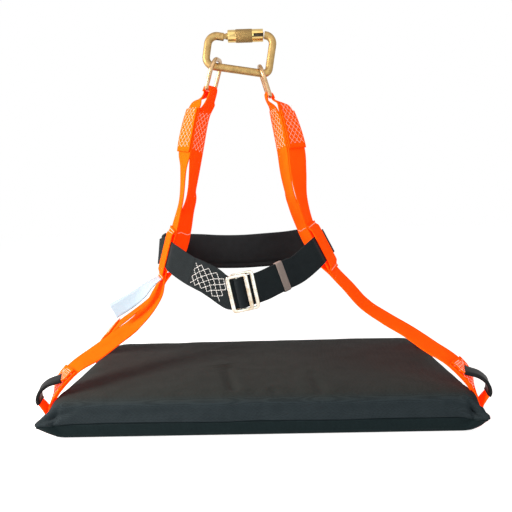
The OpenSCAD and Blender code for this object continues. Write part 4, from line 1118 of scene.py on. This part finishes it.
class CHAIR_OT_label(bpy.types.Operator):
    """Folds the blank cloth label: two leaves from one strip, sewn at the belt loop."""

    bl_idname = "chair.label"
    bl_label = "Label"

    def execute(self, context):
        web = ROUTES["label"]
        n, cols = len(web.pos), 9
        t = np.arange(n) / (n - 1)
        face = web.towards(CAMERA_MM)
        # The rear leaf falls open by 5 mm towards its end and slips aside by 4 mm
        front = web.moved(face * 0.25)
        back = web.moved(-face * (0.25 + 5.0 * t ** 2))
        back_pos = back.pos - 4.0 * (t ** 2)[:, None] * web.wide
        strip = np.vstack([np.hstack([front.pos, web.wide])[::-1], np.hstack([back_pos, web.wide])])
        run = Web(strip).run
        verts, uvs = [], []
        for i in range(len(strip)):
            at = n - 1 - i if i < n else i - n
            for k in range(cols):
                u = (k / (cols - 1) - 0.5) * LABEL_W
                curl = 0.5 * math.cos(math.pi * k / (cols - 1) * 2) * (i % n) / n
                verts.append(strip[i, :3] + u * web.wide[at] + curl * web.face[at])
                uvs.append((u * MM, run[i] * MM))
        faces = quads(len(strip), cols, ring=False)
        label = add_piece("cloth_label", verts, faces, "satin_label", ["care_label"], uvs,
                          closed=False)
        wall = label.modifiers.new("cloth", "SOLIDIFY")
        wall.thickness = 0.0003
        wall.offset = 0.0
        return {"FINISHED"}


def seen(tree, *rays):
    """1 where any of these kinds of ray meets the surface, else 0."""
    path = node(tree, "ShaderNodeLightPath")
    total = path.outputs[rays[0]]
    for ray in rays[1:]:
        total = node(tree, "ShaderNodeMath", [(0, total), (1, path.outputs[ray])], operation="MAXIMUM")
    return total


class CHAIR_OT_stage(bpy.types.Operator):
    """Sets the camera at the picture's view, the pale floor and the soft studio light."""

    bl_idname = "chair.stage"
    bl_label = "Stage"

    def execute(self, context):
        scene = context.scene
        scene.view_settings.view_transform = "Standard"
        yaw, pitch, roll = (math.radians(a) for a in CAMERA_TURN)
        ahead = Vector((math.sin(yaw) * math.cos(pitch), math.cos(yaw) * math.cos(pitch), math.sin(pitch)))
        right = Vector((math.cos(yaw), -math.sin(yaw), 0))
        up = right.cross(ahead)
        x = math.cos(roll) * right + math.sin(roll) * up
        y = -math.sin(roll) * right + math.cos(roll) * up
        data = bpy.data.cameras.new("camera")
        data.sensor_width = SENSOR_W
        data.sensor_fit = "HORIZONTAL"
        data.lens = FOCAL_PX / PICTURE_PX * SENSOR_W
        camera = bpy.data.objects.new("camera", data)
        camera.matrix_world = (Matrix.Translation(Vector(CAMERA_MM * MM))
                               @ Matrix((x, y, -ahead)).transposed().to_4x4())
        scene.collection.objects.link(camera)
        scene.camera = camera
        self.floor()
        self.lamps(scene)
        return {"FINISHED"}

    def floor(self):
        """A pale floor that shows white to the eye and to gloss, and keeps the shadow."""
        deselect_all()
        bpy.ops.mesh.primitive_plane_add(size=14.0, location=(0, 0, -0.0006))
        floor = bpy.context.object
        floor.name = "floor"
        bpy.ops.object.transform_apply(location=True)
        tree, shader, _ = new_material("pale_studio_floor")
        tree.nodes.remove(shader)
        sees = seen(tree, "Is Camera Ray", "Is Glossy Ray", "Is Transmission Ray")
        plain = node(tree, "ShaderNodeBsdfDiffuse", in_Color=rgba(linear("#D8D8D8")))
        part = node(tree, "ShaderNodeBsdfDiffuse", in_Color=rgba(linear("#E7E7E7")))
        white = node(tree, "ShaderNodeEmission", in_Color=rgba(linear("#FFFDFC")), in_Strength=0.906)
        shown = node(tree, "ShaderNodeAddShader", [(0, part), (1, white)])
        both = node(tree, "ShaderNodeMixShader", [(0, sees), (1, plain), (2, shown)])
        node(tree, tree.nodes["Material Output"], [("Surface", both)])
        floor.data.materials.append(bpy.data.materials["pale_studio_floor"])

    def lamps(self, scene):
        """Soft area lamps, and a world that is white to the eye but lights little."""
        scene.world = bpy.data.worlds.new("studio")
        scene.world.use_nodes = True
        tree = scene.world.node_tree
        base = node(tree, tree.nodes["Background"], in_Color=(0.78, 0.95, 1.0, 1), in_Strength=0.15)
        white = node(tree, "ShaderNodeBackground", in_Color=(1, 1, 1, 1), in_Strength=1.0)
        sees = seen(tree, "Is Camera Ray", "Is Glossy Ray")
        both = node(tree, "ShaderNodeMixShader", [(0, sees), (1, base), (2, white)])
        node(tree, tree.nodes["World Output"], [("Surface", both)])
        for name, at, to, size, power, colour in (
                ("key_lamp", (-1.0, -0.4, 0.7), (-0.05, 0, 0.3), 0.52, 16.0, (1.0, 0.97, 0.92)),
                ("top_lamp", (0.15, -0.85, 1.0), (0, -0.05, 0.06), 1.2, 4.2, (1.0, 0.93, 0.87)),
                ("front_lamp", (0.2, -2.0, 0.2), (0, 0, 0.1), 1.0, 9.0, (0.5, 0.88, 1.0)),
                ("fill_lamp", (1.6, -0.8, 1.0), (0.05, 0, 0.25), 1.0, 2.5, (0.95, 0.98, 1.0))):
            lamp = bpy.data.lights.new(name, "AREA")
            lamp.size = size
            lamp.energy = power
            lamp.color = colour
            obj = bpy.data.objects.new(name, lamp)
            obj.location = at
            obj.rotation_euler = (Vector(to) - Vector(at)).to_track_quat("-Z", "Y").to_euler()
            scene.collection.objects.link(obj)


class CHAIR_PT_panel(bpy.types.Panel):
    """Sizes, colours and steps of the chair's looks."""

    bl_idname = "CHAIR_PT_panel"
    bl_label = "Bosun's chair"
    bl_space_type = "VIEW_3D"
    bl_region_type = "UI"
    bl_category = "Chair"

    def draw(self, context):
        for group in (context.scene.chair_sizes, context.scene.chair_colours):
            for name in group.bl_rna.properties.keys():
                if name not in ("rna_type", "name"):
                    self.layout.prop(group, name)
        for step in STEPS:
            self.layout.operator(step.bl_idname)


STEPS = (CHAIR_OT_stage, CHAIR_OT_straps, CHAIR_OT_belt_loops, CHAIR_OT_slings, CHAIR_OT_cushion,
         CHAIR_OT_belt, CHAIR_OT_buckle, CHAIR_OT_karabiner, CHAIR_OT_label)
CLASSES = (ChairSizes, ChairColours) + STEPS + (CHAIR_PT_panel,)


def register():
    for cls in CLASSES:
        bpy.utils.register_class(cls)
    bpy.types.Scene.chair_sizes = PointerProperty(type=ChairSizes)
    bpy.types.Scene.chair_colours = PointerProperty(type=ChairColours)


def unregister():
    del bpy.types.Scene.chair_colours
    del bpy.types.Scene.chair_sizes
    for cls in reversed(CLASSES):
        bpy.utils.unregister_class(cls)


def main():
    register()
    deselect_all()
    bpy.ops.chair.stage()
    bpy.ops.chair.straps()
    bpy.ops.chair.belt_loops()
    bpy.ops.chair.slings()
    bpy.ops.chair.cushion()
    bpy.ops.chair.belt()
    bpy.ops.chair.buckle()
    bpy.ops.chair.karabiner()
    bpy.ops.chair.label()


if __name__ == "__main__":
    main()
